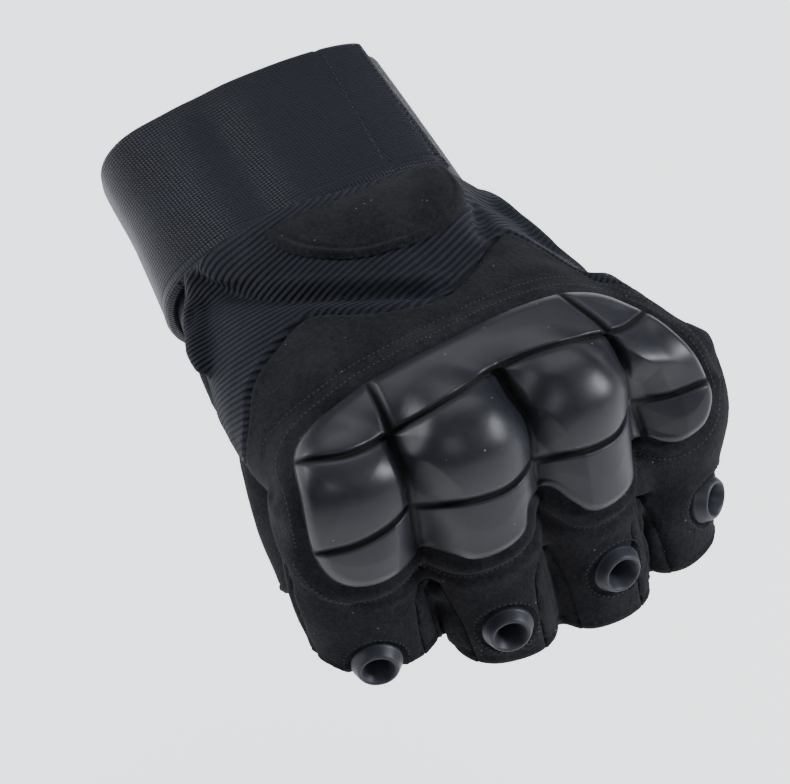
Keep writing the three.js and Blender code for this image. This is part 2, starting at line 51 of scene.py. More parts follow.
# Shapes are worked out in millimetres and turned into metres where a piece is made.


# A smooth line through the given points, with perSpan steps from each to the next
def curve(points, perSpan=6, closed=False):
    points = np.array(points, float)
    last = len(points) - 1
    pick = (lambda i: points[i % (last + 1)]) if closed else (lambda i: points[min(max(i, 0), last)])
    fine = []
    for i in range(last + 1 if closed else last):
        before, start, end, after = (pick(i + k) for k in (-1, 0, 1, 2))
        leave, arrive = (end - before) / 2, (after - start) / 2
        for k in range(perSpan):
            t = k / perSpan
            fine.append((2 * t**3 - 3 * t**2 + 1) * start + (t**3 - 2 * t**2 + t) * leave
                        + (3 * t**2 - 2 * t**3) * end + (t**3 - t**2) * arrive)
    fine.append(points[0] if closed else points[-1])
    return np.array(fine)


# The same for rows of named measures
def refine(rows, perSpan):
    keys = list(rows[0])
    return [dict(zip(keys, values)) for values in curve([[row[key] for key in keys] for row in rows], perSpan)]


def unit(vector):
    return vector / np.linalg.norm(vector)


def unitRows(vectors):
    return vectors / np.linalg.norm(vectors, axis=1)[:, None]


def smoothStep(low, high, x):
    t = np.clip((np.asarray(x, float) - low) / (high - low), 0, 1)
    return t * t * (3 - 2 * t)


def hump(x, width):
    return np.exp(-(np.asarray(x, float) / width) ** 2)


# Even, cloudy unevenness from a few waves in random directions
class Unevenness:
    def __init__(self, size, waves=14):
        turn = unitRows(dice.normal(size=(waves, 3)))
        self.waves = turn * (2 * math.pi / (size * dice.uniform(0.7, 1.5, (waves, 1))))
        self.start = dice.uniform(0, 2 * math.pi, waves)

    def at(self, points):
        return np.sin(points @ self.waves.T + self.start).mean(axis=1) * 2


# One closed cross-section, set out by its points on the back and the palm side
def sectionRing(row, sides):
    height = math.hypot(row["dx"] - row["px"], row["dz"] - row["pz"])
    leanX, leanZ = (row["dx"] - row["px"]) / height, (row["dz"] - row["pz"]) / height
    yaw, roll = row["yaw"] * deg, row["roll"] * deg
    up = np.array([leanX * math.cos(yaw), leanX * math.sin(yaw), leanZ])
    side = np.array([-math.sin(yaw), math.cos(yaw), 0])
    turn = np.array([[1, 0, 0], [0, math.cos(roll), -math.sin(roll)], [0, math.sin(roll), math.cos(roll)]])
    up, side = turn @ up, turn @ side
    middle = np.array([row["px"] + leanX * height * row["waist"], row["y"],
                       row["pz"] + leanZ * height * row["waist"]])
    angles = 2 * math.pi * (np.arange(sides) + 0.5) / sides
    c, s = np.cos(angles), np.sin(angles)
    power = 2 / row["square"]
    reach = height * np.where(s > 0, 1 - row["waist"], row["waist"])
    across = np.sign(c) * np.abs(c) ** power * row["half"]
    rise = np.sign(s) * np.abs(s) ** power * reach
    return middle + across[:, None] * side + rise[:, None] * up


def loft(rings):
    sides = len(rings[0])
    points = np.vstack(rings)
    faces = []
    for r in range(len(rings) - 1):
        for s in range(sides):
            a, b = r * sides + s, r * sides + (s + 1) % sides
            faces.append((a, b, b + sides, a + sides))
    faces.append(tuple(range(sides))[::-1])
    faces.append(tuple(range((len(rings) - 1) * sides, len(rings) * sides)))
    return points, faces


# A round limb along a line of places with their radii
def limb(rows, sides=28, perSpan=4):
    fine = refine(rows, perSpan)
    centres = np.array([[row["x"], row["y"], row["z"]] for row in fine])
    along = unitRows(np.gradient(centres, axis=0))
    side = unitRows(np.cross([0, 0, 1], along))
    up = np.cross(along, side)
    angles = 2 * math.pi * (np.arange(sides) + 0.5) / sides
    return loft([
        centres[i] + (np.cos(angles)[:, None] * side[i] + np.sin(angles)[:, None] * up[i]) * row["r"]
        for i, row in enumerate(fine)
    ])


# The glove's wrist leans back from its body, and the strap's two edges go round it.
wrist = {
    "tilt": 15, "roll": 5.3, "waist": -2.2, "square": 2.4,
    "strap": [
        {"along": -20.0, "back": 13.4, "palm": 26.0, "half": 35.8},
        {"along": 22.7, "back": 17.9, "palm": 27.0, "half": 38.6},
    ],
    "strapEnds": (35.5, 338),  # degrees round the wrist
    "cuffAlong": (-18.8, 26.2),
    "strapThick": 2.0, "bandThick": 1.4, "gap": 0.35, "inside": 4.6,
}


def onWrist(along, up):
    tilt = wrist["tilt"] * deg
    return (along * math.cos(tilt) + up * math.sin(tilt), up * math.cos(tilt) - along * math.sin(tilt))


def alongWrist(x, z):
    tilt = wrist["tilt"] * deg
    return x * math.cos(tilt) - z * math.sin(tilt)


def wristRow(row, inset):
    dx, dz = onWrist(row["along"], row["back"] - inset)
    px, pz = onWrist(row["along"], inset - row["palm"])
    waist = (wrist["waist"] + row["palm"] - inset) / (row["back"] + row["palm"] - 2 * inset)
    return {"dx": dx, "dz": dz, "px": px, "pz": pz, "y": 0, "half": row["half"] - inset,
            "square": wrist["square"], "waist": waist, "roll": wrist["roll"], "yaw": 0}


section = {"square": 2.2, "waist": 0.5, "yaw": 0}
glove = {
    "rows": [
        {"dx": 35, "dz": 14.5, "px": 24, "pz": -28, "y": -0.5, "half": 34.5, "roll": 3, **section},
        {"dx": 46, "dz": 18.5, "px": 39, "pz": -28, "y": -1.0, "half": 37.8, "roll": 1, **section},
        {"dx": 60, "dz": 21.0, "px": 55, "pz": -26, "y": -1.5, "half": 40.8, "roll": -1, **section},
        {"dx": 76, "dz": 22.0, "px": 74, "pz": -21, "y": -1.5, "half": 44.0, "roll": -2, **section},
        {"dx": 92, "dz": 23.0, "px": 92, "pz": -14, "y": -0.8, "half": 46.0, "roll": -2, **section},
        {"dx": 104, "dz": 21.5, "px": 105, "pz": -8, "y": -0.5, "half": 44.7, "roll": -2, **section},
        {"dx": 111, "dz": 16.0, "px": 110, "pz": -2, "y": 0.5, "half": 40.0, "roll": 0, **section},
    ],
    "broadFold": [
        {"y": -37, "x": 30, "z": 3.5, "long": 3, "high": 4},
        {"y": -31, "x": 36, "z": 6.5, "long": 9, "high": 6},
        {"y": -23, "x": 44, "z": 11.5, "long": 15.5, "high": 8.5},
        {"y": -14, "x": 50, "z": 15.0, "long": 19, "high": 9},
        {"y": 0, "x": 55, "z": 17.0, "long": 20.5, "high": 9},
        {"y": 12, "x": 53, "z": 16.0, "long": 19, "high": 9},
        {"y": 21, "x": 47, "z": 13.5, "long": 15, "high": 8},
        {"y": 28, "x": 42, "z": 8.5, "long": 8, "high": 5},
        {"y": 33, "x": 40, "z": 5.0, "long": 4, "high": 3},
    ],
    "narrowFolds": [
        [
            {"x": 27, "y": -33.0, "z": -1.5, "r": 1.5},
            {"x": 34, "y": -35.5, "z": 0.5, "r": 3.0},
            {"x": 42, "y": -38.5, "z": 2.0, "r": 3.2},
            {"x": 51, "y": -42.0, "z": 3.0, "r": 2.6},
            {"x": 58, "y": -43.5, "z": 3.5, "r": 1.5},
        ],
        [
            {"x": 26, "y": -32.0, "z": -11.0, "r": 2.0},
            {"x": 36, "y": -34.0, "z": -10.0, "r": 4.0},
            {"x": 48, "y": -37.0, "z": -9.0, "r": 4.0},
            {"x": 60, "y": -40.0, "z": -8.0, "r": 2.5},
        ],
        [
            {"x": 27, "y": 30.0, "z": 1.0, "r": 1.5},
            {"x": 36, "y": 33.0, "z": 3.0, "r": 3.4},
            {"x": 48, "y": 35.5, "z": 4.0, "r": 3.2},
            {"x": 60, "y": 38.0, "z": 4.0, "r": 2.6},
            {"x": 72, "y": 40.5, "z": 4.5, "r": 1.8},
        ],
    ],
    "thumb": [
        {"x": 40, "y": -17, "z": -12, "r": 12.0},
        {"x": 51, "y": -21, "z": -20, "r": 14.2},
        {"x": 62, "y": -24.5, "z": -29, "r": 14.0},
        {"x": 73, "y": -26.5, "z": -38, "r": 13.2},
        {"x": 81, "y": -27, "z": -45, "r": 12.6},
    ],
    "voxel": 0.85, "easing": 8,
}

# Each finger stall bends down at its knee. "vent" is how far down the stall its eyelet sits.
fingers = {
    "index": {"y": -34.5, "tipY": -31.3, "kneeX": 105, "kneeZ": 5.5, "drop": 34, "lean": 6, "yaw": -17,
              "deep": 14.5, "half": 15.5, "tip": 12.4, "vent": 1.1},
    "middle": {"y": -10.5, "tipY": -5, "kneeX": 109, "kneeZ": 9, "drop": 41, "lean": 8, "yaw": -12,
               "deep": 15.0, "half": 14.5, "tip": 11.4, "vent": 0.95},
    "ring": {"y": 13.5, "tipY": 18.3, "kneeX": 106.5, "kneeZ": 8, "drop": 42, "lean": 9, "yaw": 5,
             "deep": 14.5, "half": 14.5, "tip": 11.0, "vent": 0.88},
    "little": {"y": 38.0, "tipY": 39.5, "kneeX": 98, "kneeZ": 2.0, "drop": 37.0, "lean": 15, "yaw": 35,
               "deep": 13.0, "half": 15.3, "tip": 10.3, "vent": 0.86},
}
kneeRows = [
    {"along": -0.55, "turn": 90, "front": 0.75, "back": 0.9, "wide": 1.8, "twist": 0},
    {"along": 0.0, "turn": 88, "front": 1.0, "back": 0.9, "wide": 1.0, "twist": 0},
    {"along": 0.0, "turn": 58, "front": 1.02, "back": 0.1, "wide": 0.4, "twist": 0},
    {"along": 0.0, "turn": 27, "front": 1.02, "back": 0.1, "wide": 0.1, "twist": 0.2},
    {"along": 0.0, "turn": -6, "front": 0.97, "back": 0.1, "wide": 0.2, "twist": 0.45},
]
stallRows = [
    {"along": 0.0, "turn": 2, "front": 0.99, "back": 0.5, "wide": 0.2, "twist": 0.45},
    {"along": 0.36, "turn": 0, "front": 0.94, "back": 0.75, "wide": 0.7, "twist": 0.85},
    {"along": 0.74, "turn": 0, "front": 0.88, "back": 0.85, "wide": 1.0, "twist": 1},
    {"along": 1.0, "turn": -6, "front": 0.83, "back": 0.85, "wide": 1.0, "twist": 1},
    {"along": 1.25, "turn": -15, "front": 0.76, "back": 0.78, "wide": 0.95, "twist": 1},
]


def stallRow(finger, row):
    lean = finger["lean"] * deg
    run = row["along"] * finger["drop"]
    down = max(run, 0)
    share = min(1, max(0, row["along"]))
    centreX = finger["kneeX"] + min(run, 0) + math.sin(lean) * down
    centreZ = finger["kneeZ"] - math.cos(lean) * down
    tilt = (row["turn"] + finger["lean"] * min(1, share * 4)) * deg
    front, back = row["front"] * finger["deep"], row["back"] * finger["deep"]
    return {
        "dx": centreX + math.cos(tilt) * front, "dz": centreZ + math.sin(tilt) * front,
        "px": centreX - math.cos(tilt) * back, "pz": centreZ - math.sin(tilt) * back,
        "y": finger["y"] + (finger["tipY"] - finger["y"]) * share,
        "half": finger["half"] + (finger["tip"] - finger["half"]) * row["wide"],
        "square": 2.25, "waist": (0.2 + row["back"]) / (row["front"] + row["back"]),
        "roll": 0, "yaw": finger["yaw"] * row["twist"],
    }


# One more row past the last, straight on
def carryOn(rows, length):
    before, last = rows[-2], rows[-1]
    step = np.array([last["dx"] + last["px"] - before["dx"] - before["px"],
                     last["dz"] + last["pz"] - before["dz"] - before["pz"]])
    step *= length / np.linalg.norm(step)
    return rows + [{**last, "dx": last["dx"] + step[0], "px": last["px"] + step[0],
                    "dz": last["dz"] + step[1], "pz": last["pz"] + step[1]}]


def stallTube(finger):
    rows = refine([stallRow(finger, row) for row in stallRows], 5)
    return carryOn(carryOn(rows[::-1], 2.2)[::-1], 4)


# Surfaces as arrays: points (n, 3) and triangles (m, 3)

def pointNormals(points, triangles):
    a, b, c = (points[triangles[:, k]] for k in range(3))
    face = np.cross(b - a, c - a)
    normals = np.zeros_like(points)
    for k in range(3):
        np.add.at(normals, triangles[:, k], face)
    return normals / np.maximum(np.linalg.norm(normals, axis=1), 1e-12)[:, None]


def areaOf(points, triangles):
    a, b, c = (points[triangles[:, k]] for k in range(3))
    return np.linalg.norm(np.cross(b - a, c - a), axis=1).sum() / 2


def sidesOf(triangles):
    return np.vstack([triangles[:, [0, 1]], triangles[:, [1, 2]], triangles[:, [2, 0]]])


def edgesOf(triangles):
    return np.unique(np.sort(sidesOf(triangles), axis=1), axis=0)


def smoothed(points, triangles, times, share=0.5):
    edges = edgesOf(triangles)
    count = np.bincount(edges.ravel(), minlength=len(points))[:, None]
    for _ in range(times):
        total = np.zeros_like(points)
        np.add.at(total, edges[:, 0], points[edges[:, 1]])
        np.add.at(total, edges[:, 1], points[edges[:, 0]])
        points = points + share * (total / np.maximum(count, 1) - points)
    return points


# Keeps the part of a surface where the field is positive and cuts the triangles that cross zero.
def clip(points, triangles, field):
    inside = field[triangles] > 0
    count = inside.sum(axis=1)
    crossed = (count == 1) | (count == 2)
    kept = [triangles[count == 3]]
    added = []
    keys = {}

    def crossing(a, b):
        key = (a, b) if a < b else (b, a)
        if key not in keys:
            t = field[a] / (field[a] - field[b])
            keys[key] = len(points) + len(added)
            added.append(points[a] + t * (points[b] - points[a]))
        return keys[key]

    cut = []
    for triangle, flags in zip(triangles[crossed], inside[crossed]):
        odd = int(np.argmax(flags)) if flags.sum() == 1 else int(np.argmin(flags))
        a, b, c = (int(triangle[(odd + k) % 3]) for k in range(3))
        ab, ac = crossing(a, b), crossing(a, c)
        if flags.sum() == 1:
            cut.append((a, ab, ac))
        else:
            cut += [(b, c, ac), (b, ac, ab)]
    if cut:
        kept.append(np.array(cut))
    triangles = np.vstack(kept)
    points = np.vstack([points, added]) if added else points
    used, index = np.unique(triangles, return_inverse=True)
    return points[used], index.reshape(-1, 3)


def rimOf(triangles):
    sides = sidesOf(triangles)
    _, first, count = np.unique(np.sort(sides, axis=1), axis=0, return_index=True, return_counts=True)
    return sides[first[count == 1]]


def nearestOf(points):
    tree = KDTree(len(points))
    for i, point in enumerate(points):
        tree.insert(point, i)
    tree.balance()
    return tree


def treeOf(points, faces):
    return BVHTree.FromPolygons(points.tolist(), list(faces))


def distanceFromRim(points, triangles, furthest=6.0):
    a, b = rimOf(triangles).T
    tree = nearestOf(np.vstack([points[a], (points[a] + points[b]) / 2]))
    return np.array([min(tree.find(p)[2], furthest) for p in points])


# An outer and an inner layer, joined round their rim
def walled(outer, inner, triangles):
    n = len(outer)
    a, b = rimOf(triangles).T
    sides = np.vstack([np.c_[b, a, a + n], np.c_[b, a + n, b + n]])
    return np.vstack([outer, inner]), np.vstack([triangles, triangles[:, ::-1] + n, sides])


def gridTriangles(rows, columns):
    a = (np.arange(rows - 1)[:, None] * columns + np.arange(columns - 1)).ravel()
    return np.vstack([np.c_[a, a + 1, a + columns + 1], np.c_[a, a + columns + 1, a + columns]])


# How far along a path each of its points lies
def runOf(path):
    return np.r_[0, np.cumsum(np.linalg.norm(np.diff(path, axis=0), axis=1))]


def valuesAt(at, run, values):
    return np.stack([np.interp(at, run, values[:, k]) for k in range(3)], axis=1)


# Each place's distance to a line, the side it lies on and how far along that is
def nearLine(places, line):
    line = np.array(line, float)
    best = np.full(len(places), 1e9)
    side, run, start = np.zeros(len(places)), np.zeros(len(places)), 0.0
    for a, b in zip(line[:-1], line[1:]):
        d = b - a
        size = np.linalg.norm(d)
        t = np.clip((places - a) @ d / size**2, 0, 1)
        away = places - a - t[:, None] * d
        distance = np.linalg.norm(away, axis=1)
        nearer = distance < best
        best = np.where(nearer, distance, best)
        side = np.where(nearer, np.sign(d[0] * away[:, 1] - d[1] * away[:, 0]), side)
        run = np.where(nearer, start + t * size, run)
        start += size
    return best, side, run


# Distance to a closed outline, positive inside
def insideBy(places, outline):
    outline = np.array(outline, float)
    distance, _, _ = nearLine(places, np.vstack([outline, outline[:1]]))
    inside = np.zeros(len(places), bool)
    for (ax, ay), (bx, by) in zip(outline, np.roll(outline, -1, axis=0)):
        spans = (ay > places[:, 1]) != (by > places[:, 1])
        reach = (bx - ax) * (places[:, 1] - ay) / (by - ay + 1e-12) + ax
        inside ^= spans & (places[:, 0] < reach)
    return np.where(inside, distance, -distance)


def makePiece(name, points, faces, finish, slot, marks=None):
    mesh = bpy.data.meshes.new(name)
    mesh.from_pydata((np.asarray(points) / 1000).tolist(), [], [tuple(map(int, f)) for f in faces])
    for key, values in (marks or {}).items():
        layer = mesh.attributes.new(key, "FLOAT", "POINT")
        layer.data.foreach_set("value", np.asarray(values, np.float32))
    mesh.polygons.foreach_set("use_smooth", [True] * len(mesh.polygons))
    mesh.materials.append(finishes[finish])
    mesh.update()
    piece = bpy.data.objects.new(name, mesh)
    bpy.context.scene.collection.objects.link(piece)
    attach(piece, "root")
    return piece


# Finishes

# A value in a shader, which sums and products can be written with
class Amount:
    def __init__(self, finish, socket):
        self.finish, self.socket = finish, socket

    def maths(self, operation, *values):
        made = self.finish.node("ShaderNodeMath", {"operation": operation}, *values)
        return Amount(self.finish, made.outputs[0])

    def __add__(self, other):
        return self.maths("ADD", self, other)

    def __sub__(self, other):
        return self.maths("SUBTRACT", self, other)

    def __rsub__(self, other):
        return self.maths("SUBTRACT", other, self)

    def __mul__(self, other):
        return self.maths("MULTIPLY", self, other)

    def __pow__(self, other):
        return self.maths("POWER", self, other)

    def __abs__(self):
        return self.maths("ABSOLUTE", self)

    __radd__, __rmul__ = __add__, __mul__

    def sine(self):
        return self.maths("SINE", self)

    def above(self, other):
        return self.maths("GREATER_THAN", self, other)

    def ramp(self, low, high):
        made = self.finish.node("ShaderNodeMapRange", {"interpolation_type": "SMOOTHSTEP"},
                                Value=self, From_Min=low, From_Max=high)
        return Amount(self.finish, made.outputs["Result"])


class Finish:
    def __init__(self, name):
        self.material = bpy.data.materials.new(name)
        self.material.use_nodes = True
        self.tree = self.material.node_tree
        self.shader = self.tree.nodes["Principled BSDF"]

    def feed(self, node, values):
        for key, value in values.items():
            socket = node.inputs[key.replace("_", " ") if isinstance(key, str) else key]
            if isinstance(value, Amount):
                self.tree.links.new(value.socket, socket)
            else:
                socket.default_value = value

    # Values come in the order of the sockets or by a socket's name.
    def node(self, kind, settings=None, *inOrder, **named):
        made = self.tree.nodes.new(kind)
        for key, value in (settings or {}).items():
            setattr(made, key, value)
        self.feed(made, {**dict(enumerate(inOrder)), **named})
        return made

    def set(self, **values):
        self.feed(self.shader, values)

    def place(self):
        return Amount(self, self.node("ShaderNodeTexCoord").outputs["Object"])

    def mark(self, name):
        return Amount(self, self.node("ShaderNodeAttribute", {"attribute_name": name}).outputs["Fac"])

    def noise(self, size, detail=2.0, rough=0.5):
        made = self.node("ShaderNodeTexNoise", Vector=self.place(), Scale=1000 / size, Detail=detail,
                         Roughness=rough)
        return Amount(self, made.outputs["Fac"])

    # Small round specks, some way apart, in patches
    def dust(self, apart, low, high, patches, share):
        specks = self.node("ShaderNodeTexVoronoi", Vector=self.place(), Scale=1000 / apart).outputs["Distance"]
        return (1 - Amount(self, specks).ramp(low, high)) * self.noise(patches, 1).above(share)

    def blend(self, share, first, second):
        made = self.node("ShaderNodeMix", {"data_type": "RGBA"}, share)
        colours = [value if isinstance(value, Amount) else (*value, 1) for value in (first, second)]
        self.feed(made, dict(zip((6, 7), colours)))  # the Mix node's two colour sockets
        return Amount(self, made.outputs[2])

    def bump(self, height, depth, strength=1.0):
        made = self.node("ShaderNodeBump", Height=height, Distance=depth / 1000, Strength=strength)
        self.tree.links.new(made.outputs["Normal"], self.shader.inputs["Normal"])


def suedeFinish():
    suede = {"dark": (0.0034, 0.0034, 0.0044), "pale": (0.0150, 0.0148, 0.0172), "dust": (0.16, 0.16, 0.17),
             "sheen": (0.8, 0.8, 0.86, 1)}
    f = Finish("blackSuede")
    fibres, nap, cloud = f.noise(0.3, 3), f.noise(1.1, 4, 0.65), f.noise(11, 3)
    colour = f.blend((fibres * 0.45 + nap * 0.45 + cloud * 0.35).ramp(0.45, 0.85), suede["dark"], suede["pale"])
    colour = f.blend(f.dust(2.3, 0.05, 0.09, 5, 0.55) * 0.6, colour, suede["dust"])
    f.bump(fibres * 0.6 + nap * 0.8 + cloud * 0.3, 0.3, 0.9)
    f.set(Base_Color=colour, Roughness=0.95, Specular_IOR_Level=0.08, Sheen_Weight=0.012, Sheen_Roughness=0.5,
          Sheen_Tint=suede["sheen"])
    return f.material


def knitFinish():
    knit = {"dark": (0.0018, 0.0021, 0.0034), "pale": (0.0110, 0.0128, 0.0200), "sheen": (0.6, 0.68, 0.9, 1)}
    f = Finish("ribbedKnit")
    rib = f.mark("rib").sine() * 0.5 + 0.5
    loop = f.mark("loop").sine() * 0.5 + 0.5
    fuzz, cloud = f.noise(0.35, 3), f.noise(9, 2)
    height = rib ** 0.6 + rib * loop * 0.12 + fuzz * 0.15
    # The colour follows the ribs, darker in their grooves and lighter on their ridges: painted shade in the
    # grooves.
    colour = f.blend((rib * 0.6 + loop * rib * 0.08 + fuzz * 0.3 + cloud * 0.3 - 0.25).ramp(0, 1),
                     knit["dark"], knit["pale"])
    f.bump(height, 0.36)
    f.set(Base_Color=colour, Roughness=0.8, Specular_IOR_Level=0.12, Sheen_Weight=0.015, Sheen_Roughness=0.4,
          Sheen_Tint=knit["sheen"])
    return f.material


def webbingFinish():
    webbing = {"dark": (0.0018, 0.0021, 0.0036), "pale": (0.0105, 0.0118, 0.0200), "pitch": 0.78, "slant": 0.18,
               "sheen": (0.66, 0.66, 0.95, 1)}
    f = Finish("wovenNylon")
    turn = math.pi / webbing["pitch"]
    across = f.mark("across") * turn
    warp, weft = abs((f.mark("around") * turn + across * webbing["slant"]).sine()), abs(across.sine())
    weave = warp * weft
    fuzz, cloud = f.noise(0.5, 2), f.noise(18, 2)
    # The colour follows the weave, lighter on the raised crossings and darker between them: painted highlight and
    # painted shade.
    colour = f.blend((weave * 0.9 + fuzz * 0.25 + cloud * 0.35 - 0.3).ramp(0, 1),
                     webbing["dark"], webbing["pale"])
    f.bump(weave + fuzz * 0.15, 0.14)
    f.set(Base_Color=colour, Roughness=0.44, Specular_IOR_Level=0.14, Sheen_Weight=0.006, Sheen_Roughness=0.35,
          Sheen_Tint=webbing["sheen"])
    return f.material


def rubberFinish():
    rubber = {"base": (0.0054, 0.0057, 0.0084), "worn": (0.0105, 0.0110, 0.0158),
              "deep": (0.0012, 0.0012, 0.0014), "dust": (0.2, 0.2, 0.22)}
    f = Finish("satinRubber")
    grain, cloud, scuff = f.noise(0.5, 2), f.noise(12, 3), f.noise(2.2, 4, 0.7)
    colour = f.blend((cloud * 0.6 + scuff * 0.4 - 0.15).ramp(0, 1), rubber["base"], rubber["worn"])
    # Near black in the grooves: partly dirt, partly painted shade.
    colour = f.blend(f.mark("groove").ramp(0.15, 0.9), colour, rubber["deep"])
    colour = f.blend(f.dust(3.4, 0.035, 0.07, 7, 0.58) * 0.5, colour, rubber["dust"])
    f.bump(grain * 0.4 + scuff * 0.4, 0.04, 0.6)
    f.set(Base_Color=colour, Roughness=f.mark("groove") * 0.5 + cloud * 0.10 + scuff * 0.12 + 0.31,
          Specular_IOR_Level=0.24)
    return f.material


def eyeletFinish():
    ring = {"dark": (0.008, 0.0085, 0.0125), "pale": (0.016, 0.0172, 0.024)}
    f = Finish("eyeletRubber")
    grain, cloud = f.noise(0.4, 2), f.noise(4, 2)
    colour = f.blend((cloud * 0.8 + grain * 0.3 - 0.1).ramp(0, 1), ring["dark"], ring["pale"])
    f.bump(grain, 0.03, 0.5)
    f.set(Base_Color=colour, Roughness=0.5, Specular_IOR_Level=0.25)
    return f.material


def threadFinish():
    thread = {"dark": (0.004, 0.004, 0.005), "pale": (0.018, 0.018, 0.020)}
    f = Finish("sewingThread")
    colour = f.blend(f.noise(0.3, 2), thread["dark"], thread["pale"])
    f.set(Base_Color=colour, Roughness=0.6, Specular_IOR_Level=0.2)
    return f.material


finishes = {"suede": suedeFinish(), "knit": knitFinish(), "webbing": webbingFinish(), "rubber": rubberFinish(),
            "eyelet": eyeletFinish(), "thread": threadFinish()}
print("finishes made")


# The glove's outside: rounded forms joined into one skin, then eased where they meet

def skinOf(forms, voxel, easing):
    points, faces, start = [], [], 0
    for formPoints, formFaces in forms:
        points.append(formPoints)
        faces += [tuple(i + start for i in face) for face in formFaces]
        start += len(formPoints)
    mesh = bpy.data.meshes.new("skin")
    mesh.from_pydata((np.vstack(points) / 1000).tolist(), [], faces)
    skin = bpy.data.objects.new("skin", mesh)
    bpy.context.scene.collection.objects.link(skin)
    joined = skin.modifiers.new("joined", "REMESH")
    joined.mode = "VOXEL"
    joined.voxel_size = voxel / 1000
    made = skin.evaluated_get(bpy.context.evaluated_depsgraph_get()).to_mesh()
    made.calc_loop_triangles()
    points = np.array([v.co for v in made.vertices]) * 1000
    triangles = np.array([t.vertices for t in made.loop_triangles])
    bpy.data.objects.remove(skin)
    bpy.data.meshes.remove(mesh)
    return smoothed(points, triangles, easing), triangles


def bodyForm():
    rows = [wristRow(row, wrist["inside"]) for row in wrist["strap"]] + glove["rows"]
    rows = refine(rows, 5)
    return loft([sectionRing(row, 96) for row in carryOn(rows[::-1], 3)[::-1]])


def broadFoldForm(sides=36):
    angles = 2 * math.pi * np.arange(sides) / sides
    rings = []
    for row in refine(glove["broadFold"], 5):
        x, z = row["x"] + np.cos(angles) * row["long"], row["z"] + np.sin(angles) * row["high"]
        rings.append(np.stack([x, np.full(sides, row["y"]), z], axis=1))
    return loft(rings)


def fingerForms(finger):
    knuckle = refine([stallRow(finger, row) for row in kneeRows], 4)
    return [loft([sectionRing(row, 44) for row in rows]) for rows in (knuckle, stallTube(finger))]


thumbRows = glove["thumb"]
thumbRoot, thumbBend, thumbEnd = (np.array([thumbRows[i][key] for key in "xyz"], float) for i in (0, -2, -1))
thumbWay = unit(thumbEnd - thumbBend)
thumbPast = thumbEnd + thumbWay * 4
thumbForm = limb(thumbRows + [{**dict(zip("xyz", thumbPast)), "r": thumbRows[-1]["r"]}])
forms = [bodyForm(), broadFoldForm(), thumbForm] + [limb(rows, 20) for rows in glove["narrowFolds"]]
for finger in fingers.values():
    forms += fingerForms(finger)

# Neighbouring stalls are joined by narrow strips that fold into the channel between them.
# The channel's middle is given at x 115 for three heights, with its lean sideways per mm of depth.
gussets = [
    {"strips": ("index_outer_strip", "middle_inner_strip"), "topY": -22, "tipY": -17.5,
     "channel": (-19.4, -17.8, -16.2), "lean": 0.28, "set": 0.5},
    {"strips": ("middle_outer_strip", "ring_inner_strip"), "topY": 2.5, "tipY": 6.5,
     "channel": (5.3, 6.2, 6.8), "lean": 0.0, "set": 1.0},
    {"strips": ("ring_outer_strip", "little_inner_strip"), "topY": 26.5, "tipY": 30.5,
     "channel": (29.4, 29.6, 29.4), "lean": -0.15, "set": -1.5},
]
gussetHalves = [(-80, 5.4), (-29, 4.2), (-20, 2.8), (-17, 1.0)]  # z, and how wide a strip is there
gussetReach = {"topZ": -17, "tipZ": -46, "backX": 90}
# Each channel's root is filled by a soft web: x, z and radius.
webs = [(103, -6, 6.0), (109, -13, 7.2), (112, -19, 6.6), (111, -24, 4.8), (109.5, -30, 3.4), (109.5, -40, 3.2),
        (108, -52, 3.0)]


def gussetMiddle(gusset, z):
    top, tip = gussetReach["topZ"], gussetReach["tipZ"]
    return gusset["topY"] + (gusset["tipY"] - gusset["topY"]) * (z - top) / (tip - top)


def channelMiddle(gusset, x, z):
    return np.interp(z, (-40, -34, -22), gusset["channel"][::-1]) + gusset["lean"] * (115 - x)


for gusset in gussets:
    web = [(x + gusset["set"], z, r) for x, z, r in webs]
    forms.append(limb([{"x": x, "y": channelMiddle(gusset, x, z), "z": z, "r": r} for x, z, r in web], 20))
skinPoints, skinTriangles = skinOf(forms, glove["voxel"], glove["easing"])
print("skin joined:", len(skinPoints), "points")

